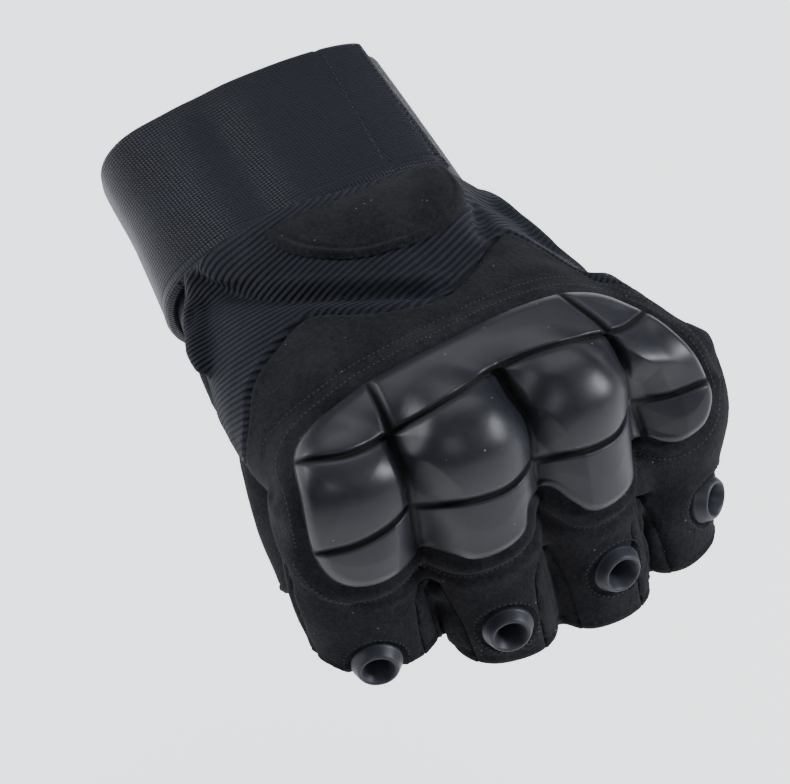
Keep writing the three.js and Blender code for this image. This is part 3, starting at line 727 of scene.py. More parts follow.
# The guard's own plane: v runs down its face from the top edge.
guard = {
    "tilt": 42, "topX": 100, "topZ": 29.6, "thick": 4.2,
    "outline": [
        (-45.5, 25.8), (-44.4, 17.3), (-42.0, 11.9), (-37.3, 8.6), (-30.4, 6.2), (-22.9, 4.0), (-14.0, 2.6),
        (-5.5, 1.6), (7.0, 0.3), (16.0, 0.0), (22.0, 0.2), (26.9, 1.0), (32.4, 3.1), (36.5, 6.2), (39.9, 10.5),
        (42.6, 15.8), (44.9, 20.8), (46.7, 26.1), (47.3, 31.0), (44.4, 36.0), (39.0, 37.7), (34.8, 36.3),
        (31.4, 34.0), (28.4, 34.0), (26.2, 36.4), (25.0, 41.2), (19.9, 44.0), (13.9, 44.4), (9.4, 40.5),
        (6.2, 36.6), (3.6, 35.7), (-0.6, 38.0), (-2.5, 42.8), (-7.8, 45.0), (-13.6, 44.9), (-18.0, 41.6),
        (-21.4, 39.1), (-24.4, 40.2), (-29.9, 42.4), (-36.1, 42.5), (-41.3, 39.5), (-44.3, 33.7),
    ],
    "grooves": [
        [(-48, 13.4), (-42, 14.2), (-34, 15.8), (-23.7, 15.0), (-12.4, 12.3), (2.6, 10.0), (14.6, 9.7),
         (27.9, 11.2), (34, 11.2), (42, 9.0)],
        [(-48, 31.5), (-44, 32.6), (-37.1, 33.4), (-29.5, 32.0), (-23.9, 29.2)],
        [(-23.9, 29.8), (-18, 31.8), (-11, 33.0), (-4.6, 32.6), (3.0, 29.0)],
        [(3.2, 29.8), (9.5, 31.0), (15.7, 31.6), (22.2, 30.2), (28.6, 24.4)],
        [(29.2, 25.8), (33, 26.8), (39.2, 27.6), (50, 27.3)],
        [(-22.4, -2), (-22.9, 4), (-23.7, 15), (-23.9, 29), (-21.6, 42)],
        [(2.6, 10.2), (3.6, 19.7), (2.8, 31), (3.8, 40)],
        [(23.4, -2), (25.2, 3.5), (27.9, 11.2), (28.6, 20.7), (31.6, 38)],
    ],
    "grooveHalf": 0.36, "grooveDepth": 1.7, "dome": 0.75, "domeRun": 7.5, "edgeRound": 1.3, "rimStart": 0.5,
    "deepestFall": 3.0, "step": 0.32, "castFrom": 40, "lowest": -16,
    # Flat faces inside one cell (column, row) that fall away on one side of a line
    "faces": [
        {"cell": (2, 1), "side": 1, "slope": 0.75,
         "line": [(2.0, 15.0), (4.7, 19.7), (6.4, 21.2), (8.3, 24.7), (10.3, 28.4), (12.6, 34.0)]},
        {"cell": (3, 1), "side": 1, "slope": 0.75,
         "line": [(29.0, 14.0), (32.4, 18.5), (35.6, 21.2), (36.8, 24.2), (39.0, 30.0)]},
        {"cell": (1, 1), "side": 1, "slope": 0.7,
         "line": [(-25.0, 17.0), (-22.0, 21.0), (-20.2, 22.8), (-18.0, 26.0), (-15.8, 29.5), (-13.6, 34.0)]},
        {"cell": (1, 1), "side": -1, "slope": 0.8,
         "line": [(-1.4, 12.0), (0.3, 19.6), (0.9, 24.0), (1.3, 33.0)]},
        {"cell": (2, 1), "side": -1, "slope": 0.75,
         "line": [(24.9, 8.0), (26.0, 17.0), (26.4, 21.0), (26.2, 32.0)]},
        {"cell": (0, 1), "side": -1, "slope": 0.6, "line": [(-26.9, 13.0), (-26.6, 24.0), (-26.4, 34.0)]},
        {"cell": (0, 2), "side": -1, "slope": 0.34, "line": [(-28.5, 30.0), (-29.8, 46.0)]},
        {"cell": (1, 2), "side": 1, "slope": 0.3, "line": [(-14.6, 30.0), (-14.2, 48.0)]},
        {"cell": (2, 2), "side": 1, "slope": 0.34, "line": [(12.6, 28.0), (13.5, 48.0)]},
        {"cell": (3, 2), "side": 1, "slope": 0.34, "line": [(39.7, 24.0), (40.6, 44.0)]},
    ],
}
tilt = guard["tilt"] * deg
guardOrigin = np.array([guard["topX"], 0, guard["topZ"]])
guardOut = np.array([math.cos(tilt), 0, math.sin(tilt)])
guardDown = np.array([math.sin(tilt), 0, -math.cos(tilt)])


def onGuard(y, v, depth):
    y, v, depth = (np.asarray(x, float)[..., None] for x in (y, v, depth))
    return guardOrigin + y * np.array([0, 1, 0]) + v * guardDown + depth * guardOut


def guardPlaces(points):
    return np.stack([points[:, 1], (points - guardOrigin) @ guardDown], axis=1)


guardOutline = curve(guard["outline"], 4, closed=True)[:-1]

skinTree = treeOf(skinPoints, skinTriangles.tolist())


def cast(tree, start, way):
    hit, normal, _, _ = tree.ray_cast(Vector(start), Vector(way))
    return (np.array(hit), np.array(normal)) if hit else (None, None)


# Eyelets on the backs of the stalls: the profile gives radius and height.
eyelet = {
    "profile": [(1.5, -4.4), (1.75, -3.0), (2.05, -1.4), (2.35, -0.2), (2.8, 0.9), (3.25, 1.75), (3.6, 2.25),
                (3.95, 2.4), (4.3, 2.2), (4.65, 1.6), (5.0, 0.8), (5.25, 0.2), (5.45, -0.2), (5.4, -1.2)],
    "sides": 72, "hole": 2.7, "lift": 0.15, "stitchedAt": 6.8,
}


def eyeletPlace(finger):
    rows = refine([stallRow(finger, row) for row in stallRows], 8)
    target = finger["kneeZ"] - finger["vent"] * finger["drop"]
    at = min(range(len(rows)), key=lambda i: abs((rows[i]["pz"] + rows[i]["dz"]) / 2 - target))
    yaw = rows[at]["yaw"] * deg

    def face(row):
        middle, half = (row["dx"] + row["px"]) / 2, (row["dx"] - row["px"]) / 2
        return np.array([middle + half * math.cos(yaw), row["y"] + half * math.sin(yaw), row["dz"]])

    down = face(rows[at + 4]) - face(rows[at - 4])
    out = unit(np.cross(down, [-math.sin(yaw), math.cos(yaw), 0]))
    hit, _ = cast(skinTree, face(rows[at]) + out * 8, -out)
    return face(rows[at]) if hit is None else hit, out, unit(down)


eyeletPlaces = {name: eyeletPlace(finger) for name, finger in fingers.items()}


# Distance from an eyelet's axis, near its foot
def fromEyelet(points, place):
    foot, out, _ = place
    away = points - foot
    height = away @ out
    return np.where(np.abs(height) < 7, np.linalg.norm(away - height[:, None] * out, axis=1), 50.0)


# Creases of the stretch panel: how deep and wide each is, and how far the fold behind it stands out
creases = [
    {"line": [(31, -36, 7), (34.3, -34.6, 9.0), (39.9, -32.5, 9.4), (47.7, -29.7, 12.0), (56.8, -26.3, 16.1),
              (63.2, -22.0, 19.1), (69.5, -14.4, 20.7), (73.9, -7.2, 21.8), (77.6, 1.3, 21.8), (75, 9, 20.5)],
     "deep": 1.7, "wide": 1.9, "fold": 2.6},
    {"line": [(48.4, 26.4, 13.9), (55, 24, 15.5), (62.4, 21.4, 17.5), (67, 17, 19)],
     "deep": 1.8, "wide": 2.3, "fold": 0},
    {"line": [(52, 31, 9), (60, 35, 8), (69, 38, 7)], "deep": 0.6, "wide": 1.8, "fold": 0},
    {"line": [(34, -37, 8), (38, -38, 5), (44, -40, 4), (50, -42, 3)], "deep": 1.1, "wide": 1.2, "fold": 0},
]
cloudBroad, cloudMiddle, cloudFine = Unevenness(26), Unevenness(11), Unevenness(5)
# Where the stalls and the cuff open, and how the stalls' mouths curve back and share their borders
mouth = {"furthest": 5.0, "belowZ": -14, "beyondX": 88, "sag": 2.0, "share": 3, "rise": 9, "never": 90.0,
         "thumbReach": 22, "thumbX": 93, "cuff": 19.4}


# Distance inside the nearest mouth, negative where the cloth has ended
def mouths(p):
    keep = np.full(len(p), mouth["furthest"])
    edge = np.full(len(p), mouth["never"])
    borders = [-edge] + [gussetMiddle(gusset, p[:, 2]) for gusset in gussets] + [edge]
    here = (p[:, 2] < mouth["belowZ"]) & (p[:, 0] > mouth["beyondX"])
    for i, finger in enumerate(fingers.values()):
        before, last = (stallRow(finger, row) for row in stallRows[-2:])
        end, start = (np.array([(row["dx"] + row["px"]) / 2, row["y"], (row["dz"] + row["pz"]) / 2])
                      for row in (last, before))
        # Neighbours share the cut for a little way past the border, so it has no step there.
        past = np.maximum(np.maximum(borders[i] - p[:, 1], p[:, 1] - borders[i + 1]), 0)
        beside = np.abs(p[:, 1] - end[1]) / last["half"]
        cut = -((p - end) @ unit(end - start)) - mouth["sag"] * np.clip(beside, 0, 1.4) ** 4
        cut = cut + mouth["rise"] * smoothStep(0, mouth["share"], past)
        cut = cut + mouth["never"] * (past > mouth["share"])
        keep = np.where(here, np.minimum(keep, cut), keep)
    here = (np.linalg.norm(p - thumbEnd, axis=1) < mouth["thumbReach"]) & (p[:, 0] < mouth["thumbX"])
    keep[here] = -((p[here] - thumbEnd) @ thumbWay)
    return np.minimum(keep, alongWrist(p[:, 0], p[:, 2]) + mouth["cuff"])


# The glove's sides stand out beyond the guard's ends: middle, size, height and from which y to which
fullSides = [
    {"middle": [105, 48, -10], "size": [15, 20, 17], "high": 6.0, "from": 36, "to": 46},
    {"middle": [105, -44, -20], "size": [14, 16, 17], "high": 3.4, "from": -35, "to": -42},
]


# How far each point of the skin stands out or lies in
def reliefs(points):
    rise = cloudBroad.at(points) * 0.35 + cloudMiddle.at(points) * 0.16 + cloudFine.at(points) * 0.05
    for crease in creases:
        away, side, run = nearLine(points, curve(crease["line"]))
        ends = smoothStep(0, 6, run) * smoothStep(0, 8, run.max() - run)
        valley = 0.7 * hump(away, crease["wide"]) + 0.3 * hump(away, crease["wide"] * 2.2)
        rise -= ends * crease["deep"] * valley
        behind = np.where(side > 0, away, -away)
        rise += ends * crease["fold"] * smoothStep(-0.2, 2.2, behind) * hump(np.maximum(behind - 2.2, 0), 6.5)
    # The suede rolls up into a lip all round the guard.
    near = ((points - guardOrigin) @ guardOut > guard["lowest"]) & (points[:, 0] > 84)
    places = guardPlaces(points[near])
    outside = -insideBy(places, guardOutline)
    low = smoothStep(20, 32, places[:, 1])
    rise[near] += (0.3 + 1.0 * low) * hump(outside - 1.7, 1.1) - (0.25 + 0.55 * low) * hump(outside - 4.0, 0.75)
    rise[near] += 0.35 * low * hump(outside - 5.8, 1.1)
    for full in fullSides:
        beside = np.linalg.norm((points - full["middle"]) / full["size"], axis=1)
        rise += full["high"] * hump(beside, 0.85) * smoothStep(full["from"], full["to"], points[:, 1])
    # The panel dips under the band at the wrist.
    along = alongWrist(points[:, 0], points[:, 2])
    dip = (1 - smoothStep(25.5, 31, along)) * (along > 15)
    rise = rise * (1 - dip) - 1.2 * dip
    # Turned hems at the mouths
    hem = mouths(points)
    rise += 0.18 * smoothStep(2.2, 1.7, hem) - 0.25 * hump(hem - 2.3, 0.35)
    for place in eyeletPlaces.values():
        away = fromEyelet(points, place)
        rise += 0.3 * hump(away - 7.0, 0.9) - 0.55 * hump(away - 5.8, 0.55)
    return rise


# The strips swell into the channel until they all but touch.
def intoGaps(points):
    points = points.copy()
    x, z = points[:, 0], points[:, 2]
    for gusset in gussets:
        away = points[:, 1] - channelMiddle(gusset, x, z)
        swell = (1 - smoothStep(1.4, 4.6, np.abs(away))) * smoothStep(-20, -25, z) * smoothStep(121, 117, x)
        # The fold between two strips leaves a hollow near the top of the channel.
        swell = swell * smoothStep(100, 104, x) * (1 - 0.75 * hump(z + 26.5, 2.6) * smoothStep(112, 115, x))
        points[:, 1] -= np.sign(away) * np.maximum(np.abs(away) - 0.3, 0) * swell
    return points


skinNormals = pointNormals(skinPoints, skinTriangles)
skinPoints = intoGaps(skinPoints + skinNormals * reliefs(skinPoints)[:, None])
skinNormals = pointNormals(skinPoints, skinTriangles)
skinTree = treeOf(skinPoints, skinTriangles.tolist())


def onSkin(start, way):
    return cast(skinTree, start, way)


# Where the panels part
backSeam = curve([
    (92, -60), (88, -47), (79, -41), (74.5, -35), (70, -24), (75.5, -16), (79.5, -9), (81, 0), (79, 6),
    (73.5, 14), (67, 20), (60.5, 26), (62.5, 30), (70, 33), (78, 36), (84, 40), (94, 60),
])
sideSeam = [(-60, 14), (0, -2.5), (24, -8), (45, -6), (70, -3), (92, 0), (104, -1)]
stallSeam = [(-80, 111), (-40, 111), (-12, 109), (-1, 104)]


def beforeSeam(p):
    return p[:, 0] - np.interp(p[:, 1], backSeam[:, 1], backSeam[:, 0])


def aboveSeam(p):
    sideX, sideZ = np.array(sideSeam).T
    stallZ, stallX = np.array(stallSeam).T
    return np.maximum(p[:, 2] - np.interp(p[:, 0], sideX, sideZ), p[:, 0] - np.interp(p[:, 2], stallZ, stallX))


def stripField(gusset, sign):
    z, half = np.array(gussetHalves).T

    def field(p):
        away = sign * (p[:, 1] - gussetMiddle(gusset, p[:, 2]))
        return np.minimum.reduce([away, np.interp(p[:, 2], z, half) - away, gussetReach["topZ"] - p[:, 2],
                                  p[:, 0] - gussetReach["backX"]])
    return field


bodyTree = treeOf(*bodyForm())


# How far a point near the thumb stall stands out of the body's own form
def outOfPalm(p):
    field = np.full(len(p), -5.0)
    away = p - thumbRoot
    along = away @ thumbWay
    beside = np.linalg.norm(away - along[:, None] * thumbWay, axis=1)
    near = (beside < mouth["thumbReach"]) & (p[:, 0] < mouth["thumbX"]) & (p[:, 2] < -8)
    for i in np.nonzero(near)[0]:
        spot, normal, _, _ = bodyTree.find_nearest(Vector(p[i]))
        away = p[i] - np.array(spot)
        field[i] = math.copysign(np.linalg.norm(away), away @ np.array(normal)) - 1.2
    return field


def cutTo(surface, *fields):
    points, triangles = surface
    for field in fields:
        points, triangles = clip(points, triangles, field(points))
    return points, triangles


def notIn(field, gap=0.02):
    return lambda p: -field(p) - gap


skin = cutTo((skinPoints, skinTriangles), mouths)
thumbSkin = cutTo(skin, outOfPalm)
gloveSkin = cutTo(skin, notIn(outOfPalm))
strips = {}
rest = gloveSkin
for gusset in gussets:
    for name, sign in zip(gusset["strips"], (-1, 1)):
        field = stripField(gusset, sign)
        strips[name] = cutTo(gloveSkin, field)
        rest = cutTo(rest, notIn(field))
palmSkin = cutTo(rest, notIn(aboveSeam))
backSkin = cutTo(rest, aboveSeam, beforeSeam, *[
    (lambda p, place=place: fromEyelet(p, place) - eyelet["hole"]) for place in eyeletPlaces.values()])
knitSkin = cutTo(rest, aboveSeam, notIn(beforeSeam))
print("panels cut")

normalTree = nearestOf(skinPoints)


def panelPiece(name, surface, finish, thick, seam, marksFor=None):
    points, triangles = surface
    normals = np.array([skinNormals[normalTree.find(p)[1]] for p in points])
    away = distanceFromRim(points, triangles)
    drop = seam["drop"] * (1 - smoothStep(0, seam["width"], away))
    drop = drop - seam["puff"] * hump(away - seam["width"] * 1.5, 1.1)
    points = points - normals * drop[:, None]
    marks = marksFor(points, triangles, normals) if marksFor else {}
    area = areaOf(points, triangles)
    print(name, "area", round(area, 1), "mm2")
    full, faces = walled(points, points - normals * thick, triangles)
    marks = {key: np.r_[values, values] for key, values in marks.items()}
    piece = makePiece(name, full, faces, finish, finish, marks)
    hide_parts(name)
    return piece, area


# Which way the ribs of the knit run: place, and the turn seen from the camera in degrees
ribTable = np.array([
    (37, -31, 12, 15), (42, -27, 16, 18), (49, -25, 17, 30), (54, -24, 16, 38), (58, -18, 20, 42),
    (64, -14, 20, 42), (66, -8, 22, 38), (70, -4, 22, 32), (69, 3, 23, 38), (66, 11, 23, 50), (57, 18, 21, 60),
    (46, 26, 15, 66), (56, -31, 14, 20), (64, -25, 18, 15), (70, -18, 20, 14), (76, -10, 22, 15), (79, 1, 22, 22),
    (72, 13, 20, 35), (39, -35, 3, 40), (53, -38, 5, 36), (59, -35, 12, 24), (67, -29, 17, 18), (66, -42, 7, 32),
    (73, -38, 13, 22), (60, -42, -4, 30), (79, -45, 7, 25), (43, 34, 7, 60), (56, 37, 7, 55), (30, -34, 5, 25),
    (70, 40, 5, 50),
], float)
rib = {"pitch": 1.38, "loopPitch": 1.1, "hiddenWay": (-0.9, -0.42, -0.9), "rounds": 350}


# The ribs follow those turns over the surface and keep their pitch as well as they can.
def knitMarks(points, triangles, normals):
    weights = np.exp(-((points[:, None] - ribTable[None, :, :3]) ** 2).sum(axis=2) / 60) + 1e-9
    turns = ribTable[:, 3] * deg
    right, up, back = (np.array(view[key]) for key in ("right", "up", "back"))
    seen = unitRows((weights @ np.cos(turns))[:, None] * right + (weights @ np.sin(turns))[:, None] * up)
    facing = np.maximum(normals @ back, 0.2)
    way = seen - ((seen * normals).sum(axis=1) / facing)[:, None] * back
    way -= (way * normals).sum(axis=1)[:, None] * normals
    way /= np.maximum(np.linalg.norm(way, axis=1), 1e-6)[:, None]
    across = np.cross(normals, way) * 2 * math.pi / rib["pitch"]
    # Where the panel turns away from the camera, they follow one steady slope.
    steady = np.array(rib["hiddenWay"]) * 2 * math.pi / rib["pitch"]
    hidden = steady - (normals @ steady)[:, None] * normals
    across += (hidden - across) * (1 - smoothStep(-0.05, 0.22, normals @ back))[:, None]
    along = way * 2 * math.pi / rib["loopPitch"]
    a, b = edgesOf(triangles).T

    def gathered(step):
        return np.bincount(b, step, len(points)) - np.bincount(a, step, len(points))

    # The values over the surface whose steps come nearest to the slope
    def solved(slope):
        step = ((slope[a] + slope[b]) / 2 * (points[b] - points[a])).sum(axis=1)
        values = points @ np.linalg.lstsq(points[b] - points[a], step, rcond=None)[0]
        left = gathered(step) - gathered(values[b] - values[a])
        push, size = left.copy(), left @ left
        for _ in range(rib["rounds"]):
            spread = gathered(push[b] - push[a])
            share = size / (push @ spread)
            values = values + share * push
            left = left - share * spread
            bigger = left @ left
            push, size = left + push * bigger / size, bigger
        return values

    return {"rib": solved(across), "loop": solved(along)}


seamWidths = {
    "suede": {"drop": 0.75, "width": 1.1, "puff": 0.12},
    "knit": {"drop": 0.9, "width": 1.3, "puff": 0.05},
    "strip": {"drop": 0.5, "width": 0.9, "puff": 0.05},
}
panels = {  # surface, finish, thickness and seam
    "back_panel": (backSkin, "suede", 1.3, "suede"),
    "palm_panel": (palmSkin, "suede", 1.3, "suede"),
    "thumb_panel": (thumbSkin, "suede", 1.3, "suede"),
    "knit_panel": (knitSkin, "knit", 1.4, "knit"),
}
for name, surface in strips.items():
    panels[name] = (surface, "suede", 1.1, "strip")
for name, (surface, finish, thick, seam) in panels.items():
    marksFor = knitMarks if finish == "knit" else None
    piece, area = panelPiece(name, surface, finish, thick, seamWidths[seam], marksFor)
    area /= 1e6
print("panels made")


# Heights over a grid: gaps filled from their neighbours, and eased
def filledIn(values):
    for _ in range(60):
        gaps = np.isnan(values)
        if not gaps.any():
            break
        padded = np.pad(values, 1, constant_values=np.nan)
        around = np.stack([padded[1 + dy:padded.shape[0] - 1 + dy, 1 + dx:padded.shape[1] - 1 + dx]
                           for dy in (-1, 0, 1) for dx in (-1, 0, 1)])
        with np.errstate(all="ignore"):
            filled = np.nanmean(around, axis=0)
        values = np.where(gaps, filled, values)
    return values


def blurred(values, times):
    for _ in range(times):
        padded = np.pad(values, 1, mode="edge")
        values = (padded[:-2, 1:-1] + padded[2:, 1:-1] + padded[1:-1, :-2] + padded[1:-1, 2:]
                  + 2 * padded[1:-1, 1:-1]) / 6
    return values


# The knuckle guard, moulded in one piece
def guardPiece():
    step = guard["step"]
    across = np.arange(-48.5, 50, step)
    down = np.arange(-2.5, 48, step)
    y, v = np.meshgrid(across, down)
    base = np.full(y.shape, np.nan)
    for i in range(y.shape[0]):
        for j in range(y.shape[1]):
            hit, _ = onSkin(onGuard(y[i, j], v[i, j], guard["castFrom"]), -guardOut)
            depth = np.nan if hit is None else (hit - guardOrigin) @ guardOut
            if depth > guard["lowest"]:
                base[i, j] = depth
    base = blurred(filledIn(base), 40)
    places = np.stack([y.ravel(), v.ravel()], axis=1)
    inside = insideBy(places, guardOutline)
    groove = np.full(len(places), 1e9)
    # The three columns' grooves are a little wider than the others.
    for k, line in enumerate(guard["grooves"]):
        wider = guard["grooveHalf"] / (0.58 if k > 4 else 0.42)
        groove = np.minimum(groove, nearLine(places, curve(line, 5))[0] * wider)
    near = np.minimum(groove, np.maximum(inside, 0))
    # The curve starts below the rim, so the cut edge runs smoothly.
    rounding = np.clip((inside + guard["rimStart"]) / (guard["edgeRound"] + guard["rimStart"]), 0, 1)
    columns = [np.array(guard["grooves"][k]) for k in (5, 6, 7)]
    rows = [np.array(guard["grooves"][0]), np.array(sum(guard["grooves"][1:5], []))]
    column = sum(1 * (places[:, 0] > np.interp(places[:, 1], line[:, 1], line[:, 0])) for line in columns)
    row = sum(1 * (places[:, 1] > np.interp(places[:, 0], line[:, 0], line[:, 1])) for line in rows)
    fall = np.zeros(len(places))
    for face in guard["faces"]:
        away, side, _ = nearLine(places, face["line"])
        within = (side == face["side"]) & (column == face["cell"][0]) & (row == face["cell"][1])
        fall = np.maximum(fall, within * face["slope"] * away)
    fall = np.minimum(fall, guard["deepestFall"])
    top = guard["thick"] * np.sqrt(np.clip(1 - (1 - rounding) ** 2, 0, 1)) - 0.5
    top += guard["dome"] * (1 - (1 - np.clip(near / guard["domeRun"], 0, 1)) ** 2)
    top -= fall * rounding
    # The grooves run out through the rim at one depth below the cells beside them.
    cutTop = np.minimum(top, guard["thick"] - 0.5 - guard["grooveDepth"] - fall)
    top += (cutTop - top) * np.exp(-(groove / guard["grooveHalf"]) ** 2 / 1.6)
    under = base.ravel() + 0.35
    upper = np.maximum(base.ravel() + top, under + 0.25)
    cut, faces = clip(np.c_[places, upper, under, groove], gridTriangles(*y.shape), inside)
    y, v, upper, under, groove = cut.T
    points, faces = walled(onGuard(y, v, upper), onGuard(y, v, under), faces[:, ::-1])
    # This mark also darkens the rubber's colour in the grooves: partly dirt, partly painted shade.
    inGroove = np.exp(-(groove / 0.5) ** 2)
    piece = makePiece("knuckle_guard", points, faces, "rubber", "rubber", {"groove": np.r_[inGroove, inGroove]})
    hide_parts("knuckle_guard")


guardPiece()
print("guard made")

for name, (foot, out, down) in eyeletPlaces.items():
    side = np.cross(out, down)
    profile = curve(eyelet["profile"], 3)
    angles = 2 * math.pi * np.arange(eyelet["sides"]) / eyelet["sides"]
    points = [foot + out * (height + eyelet["lift"]) + radius * (math.cos(a) * side + math.sin(a) * down)
              for radius, height in profile for a in angles]
    m, n = len(profile), eyelet["sides"]
    faces = [(r * n + s, r * n + (s + 1) % n, ((r + 1) % m) * n + (s + 1) % n, ((r + 1) % m) * n + s)
             for r in range(m) for s in range(n)]
    piece = makePiece("vent_" + name, points, faces, "eyelet", "rubber")
    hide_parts("vent_" + name)
print("eyelets made")


# Bands round the wrist
band = {"rows": 72, "columns": 420, "ringSides": 1440}


# A grid over the band, with each point's run round the wrist and across the band
def bandSurface(edges, inset, startAngle, endAngle):
    rows, columns = band["rows"], band["columns"]
    angles = (np.arange(band["ringSides"]) + 0.5) * 360 / band["ringSides"]
    angles = np.r_[angles, angles + 360]
    grid, lengths = [], None
    for share in np.linspace(0, 1, rows):
        row = {key: edges[0][key] + (edges[1][key] - edges[0][key]) * share for key in edges[0]}
        ring = sectionRing(wristRow(row, inset), band["ringSides"])
        part = np.vstack([ring, ring])[(angles >= startAngle) & (angles <= endAngle)]
        run = runOf(part)
        at = np.linspace(0, run[-1], columns)
        grid.append(valuesAt(at, run, part))
        lengths = at if lengths is None else lengths
    width = np.linalg.norm(grid[-1].mean(axis=0) - grid[0].mean(axis=0))
    u = np.tile(lengths, (rows, 1)).ravel()
    v = np.repeat(np.linspace(0, width, rows), columns)
    return np.vstack(grid), gridTriangles(rows, columns), u, v, width


def bandPiece(name, edges, inset, thick, startAngle, endAngle, shape):
    points, triangles, u, v, width = bandSurface(edges, inset, startAngle, endAngle)
    normals = pointNormals(points, triangles)
    if ((points - points.mean(axis=0)) * normals).sum() < 0:
        triangles, normals = triangles[:, ::-1], -normals
    edge = np.minimum(np.minimum(v, width - v), np.minimum(u, u.max() - u))
    rise = shape(points, v, width) - 0.45 * (1 - smoothStep(0, 0.9, edge))
    points = points + normals * rise[:, None]
    area = areaOf(points, triangles)
    print(name, "area", round(area, 1), "mm2")
    full, faces = walled(points, points - normals * thick, triangles)
    piece = makePiece(name, full, faces, "webbing", "webbing", {"around": np.r_[u, u], "across": np.r_[v, v]})
    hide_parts(name)
    # A hair wide so that rounding doesn't take from the area
    return points, normals, v


# The strap's waves and raised edges
def strapShape(points, v, width):
    y = points[:, 1]
    top = smoothStep(0, 6, points[:, 2])
    rise = (0.35 * hump(y + 22, 5) - 1.3 * hump(y + 12.5, 4.6) + 0.35 * hump(y + 3.0, 5)) * top
    rise *= 0.25 + 0.75 * smoothStep(0, 12, v)
    rise += cloudBroad.at(points) * 0.2 - 0.28 * hump(y - 17.3, 0.7) * top - 0.3 * hump(y - 29.5, 1.2) * top
    rise += 1.3 * (1 - smoothStep(0, 20, v)) * smoothStep(-20, -32, y)
    return rise + 0.2 * hump(v - width + 2.0, 1.0) - 0.2 * hump(v - width + 3.4, 0.4)


strap = bandPiece("wrist_strap", wrist["strap"], 0, wrist["strapThick"], *wrist["strapEnds"], strapShape)
cuffEdges = [{**edge, "along": along} for edge, along in zip(wrist["strap"], wrist["cuffAlong"])]
bandPiece("cuff_band", cuffEdges, wrist["strapThick"] + wrist["gap"], wrist["bandThick"], 0, 359.7,
          lambda points, v, width: cloudBroad.at(points) * 0.12)
print("bands made")

# The oval patch, with a straight edge at the strap
patch = {"x": 44, "y": 1, "long": 22, "wide": 22.5, "edgeY": (-22, 0, 10, 19), "edgeAlong": (36.4, 35.5, 33, 29),
         "lift": 0.3, "thick": 0.85, "reach": 24, "step": 0.5}


def heightAt(x, y):
    hit, _ = onSkin((x, y, 60), (0, 0, -1))
    return np.nan if hit is None else hit[2]


def patchPiece():
    x, y = np.meshgrid(*[np.arange(patch[key] - patch["reach"], patch[key] + patch["reach"], patch["step"])
                         for key in "xy"])
    places = np.stack([x.ravel(), y.ravel()], axis=1)
    offset = (places - [patch["x"], patch["y"]]) / [patch["long"], patch["wide"]]
    inside = (1 - np.linalg.norm(offset, axis=1)) * patch["wide"]
    height = np.array([heightAt(*place) for place in places])
    height = blurred(filledIn(height.reshape(x.shape)), 16).ravel()
    rise = patch["lift"] + patch["thick"] + 0.22 * hump(inside - 1.1, 0.7) - 0.3 * hump(inside - 2.4, 0.5)
    rise -= 0.5 * smoothStep(4, 14, inside) + 0.9 * (1 - smoothStep(0, 0.9, inside))
    straight = alongWrist(places[:, 0], height) - np.interp(places[:, 1], patch["edgeY"], patch["edgeAlong"])
    # The straight edge is drawn down against the panel.
    height = height - (0.5 + 1.2 * smoothStep(8, 18, places[:, 1])) * (1 - smoothStep(0, 5, straight))
    upper, under = np.c_[places, height + rise], np.c_[places, height + patch["lift"]]
    cut, faces = clip(np.c_[upper, under], gridTriangles(*x.shape), np.minimum(inside, straight))
    area = areaOf(cut[:, :3], faces)
    print("oval_patch area", round(area, 1), "mm2")
    piece = makePiece("oval_patch", *walled(cut[:, :3], cut[:, 3:], faces), "suede", "suede")
    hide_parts("oval_patch")


patchPiece()
print("patch made")


# Sewn lines: short rounded stitches laid along a line on a surface
def stitchMesh(spots, ways, outs, long, thick):
    sides, rings = 6, [(-1, 0.25), (-0.75, 0.8), (0, 1.0), (0.75, 0.8), (1, 0.25)]
    points, faces = [], []
    for spot, way, out in zip(spots, ways, outs):
        side = np.cross(out, way)
        start = len(points)
        for along, size in rings:
            sink = -thick * 0.45 * along * along
            for k in range(sides):
                a = 2 * math.pi * k / sides
                points.append(spot + way * along * long / 2 + side * math.cos(a) * thick / 2 * size
                              + out * (math.sin(a) * thick / 2 * size + sink))
        for r in range(len(rings) - 1):
            for k in range(sides):
                p, q = start + r * sides + k, start + r * sides + (k + 1) % sides
                faces.append((p, q, q + sides, p + sides))
        faces.append(tuple(start + k for k in range(sides))[::-1])
        faces.append(tuple(start + (len(rings) - 1) * sides + k for k in range(sides)))
    return points, faces


def sewn(name, path, outs, pitch, long, thick, slot="suede"):
    run = runOf(path)
    at = np.arange(pitch / 2, run[-1], pitch)
    spots, normals = valuesAt(at, run, path), unitRows(valuesAt(at, run, outs))
    points, faces = stitchMesh(spots, unitRows(np.gradient(spots, axis=0)), normals, long, thick)
    makePiece(name, points, faces, "thread", slot)


# A closed line that was broken somewhere starts again after its widest gap.
def fromGap(path, outs, least=0):
    gaps = np.linalg.norm(np.diff(path, axis=0), axis=1)
    split = int(np.argmax(gaps)) + 1
    return (np.roll(path, -split, axis=0), np.roll(outs, -split, axis=0)) if gaps.max() > least else (path, outs)


def aroundGuard(offset, low, high):
    path, outs = [], []
    outline = np.vstack([guardOutline, guardOutline[:1]])
    for place, way in zip(outline, unitRows(np.gradient(outline, axis=0))):
        y, v = place + np.array([way[1], -way[0]]) * offset
        hit, normal = onSkin(onGuard(y, v, guard["castFrom"]), -guardOut)
        if hit is not None and low <= place[1] <= high:
            path.append(hit)
            outs.append(normal)
    return np.array(path), np.array(outs)


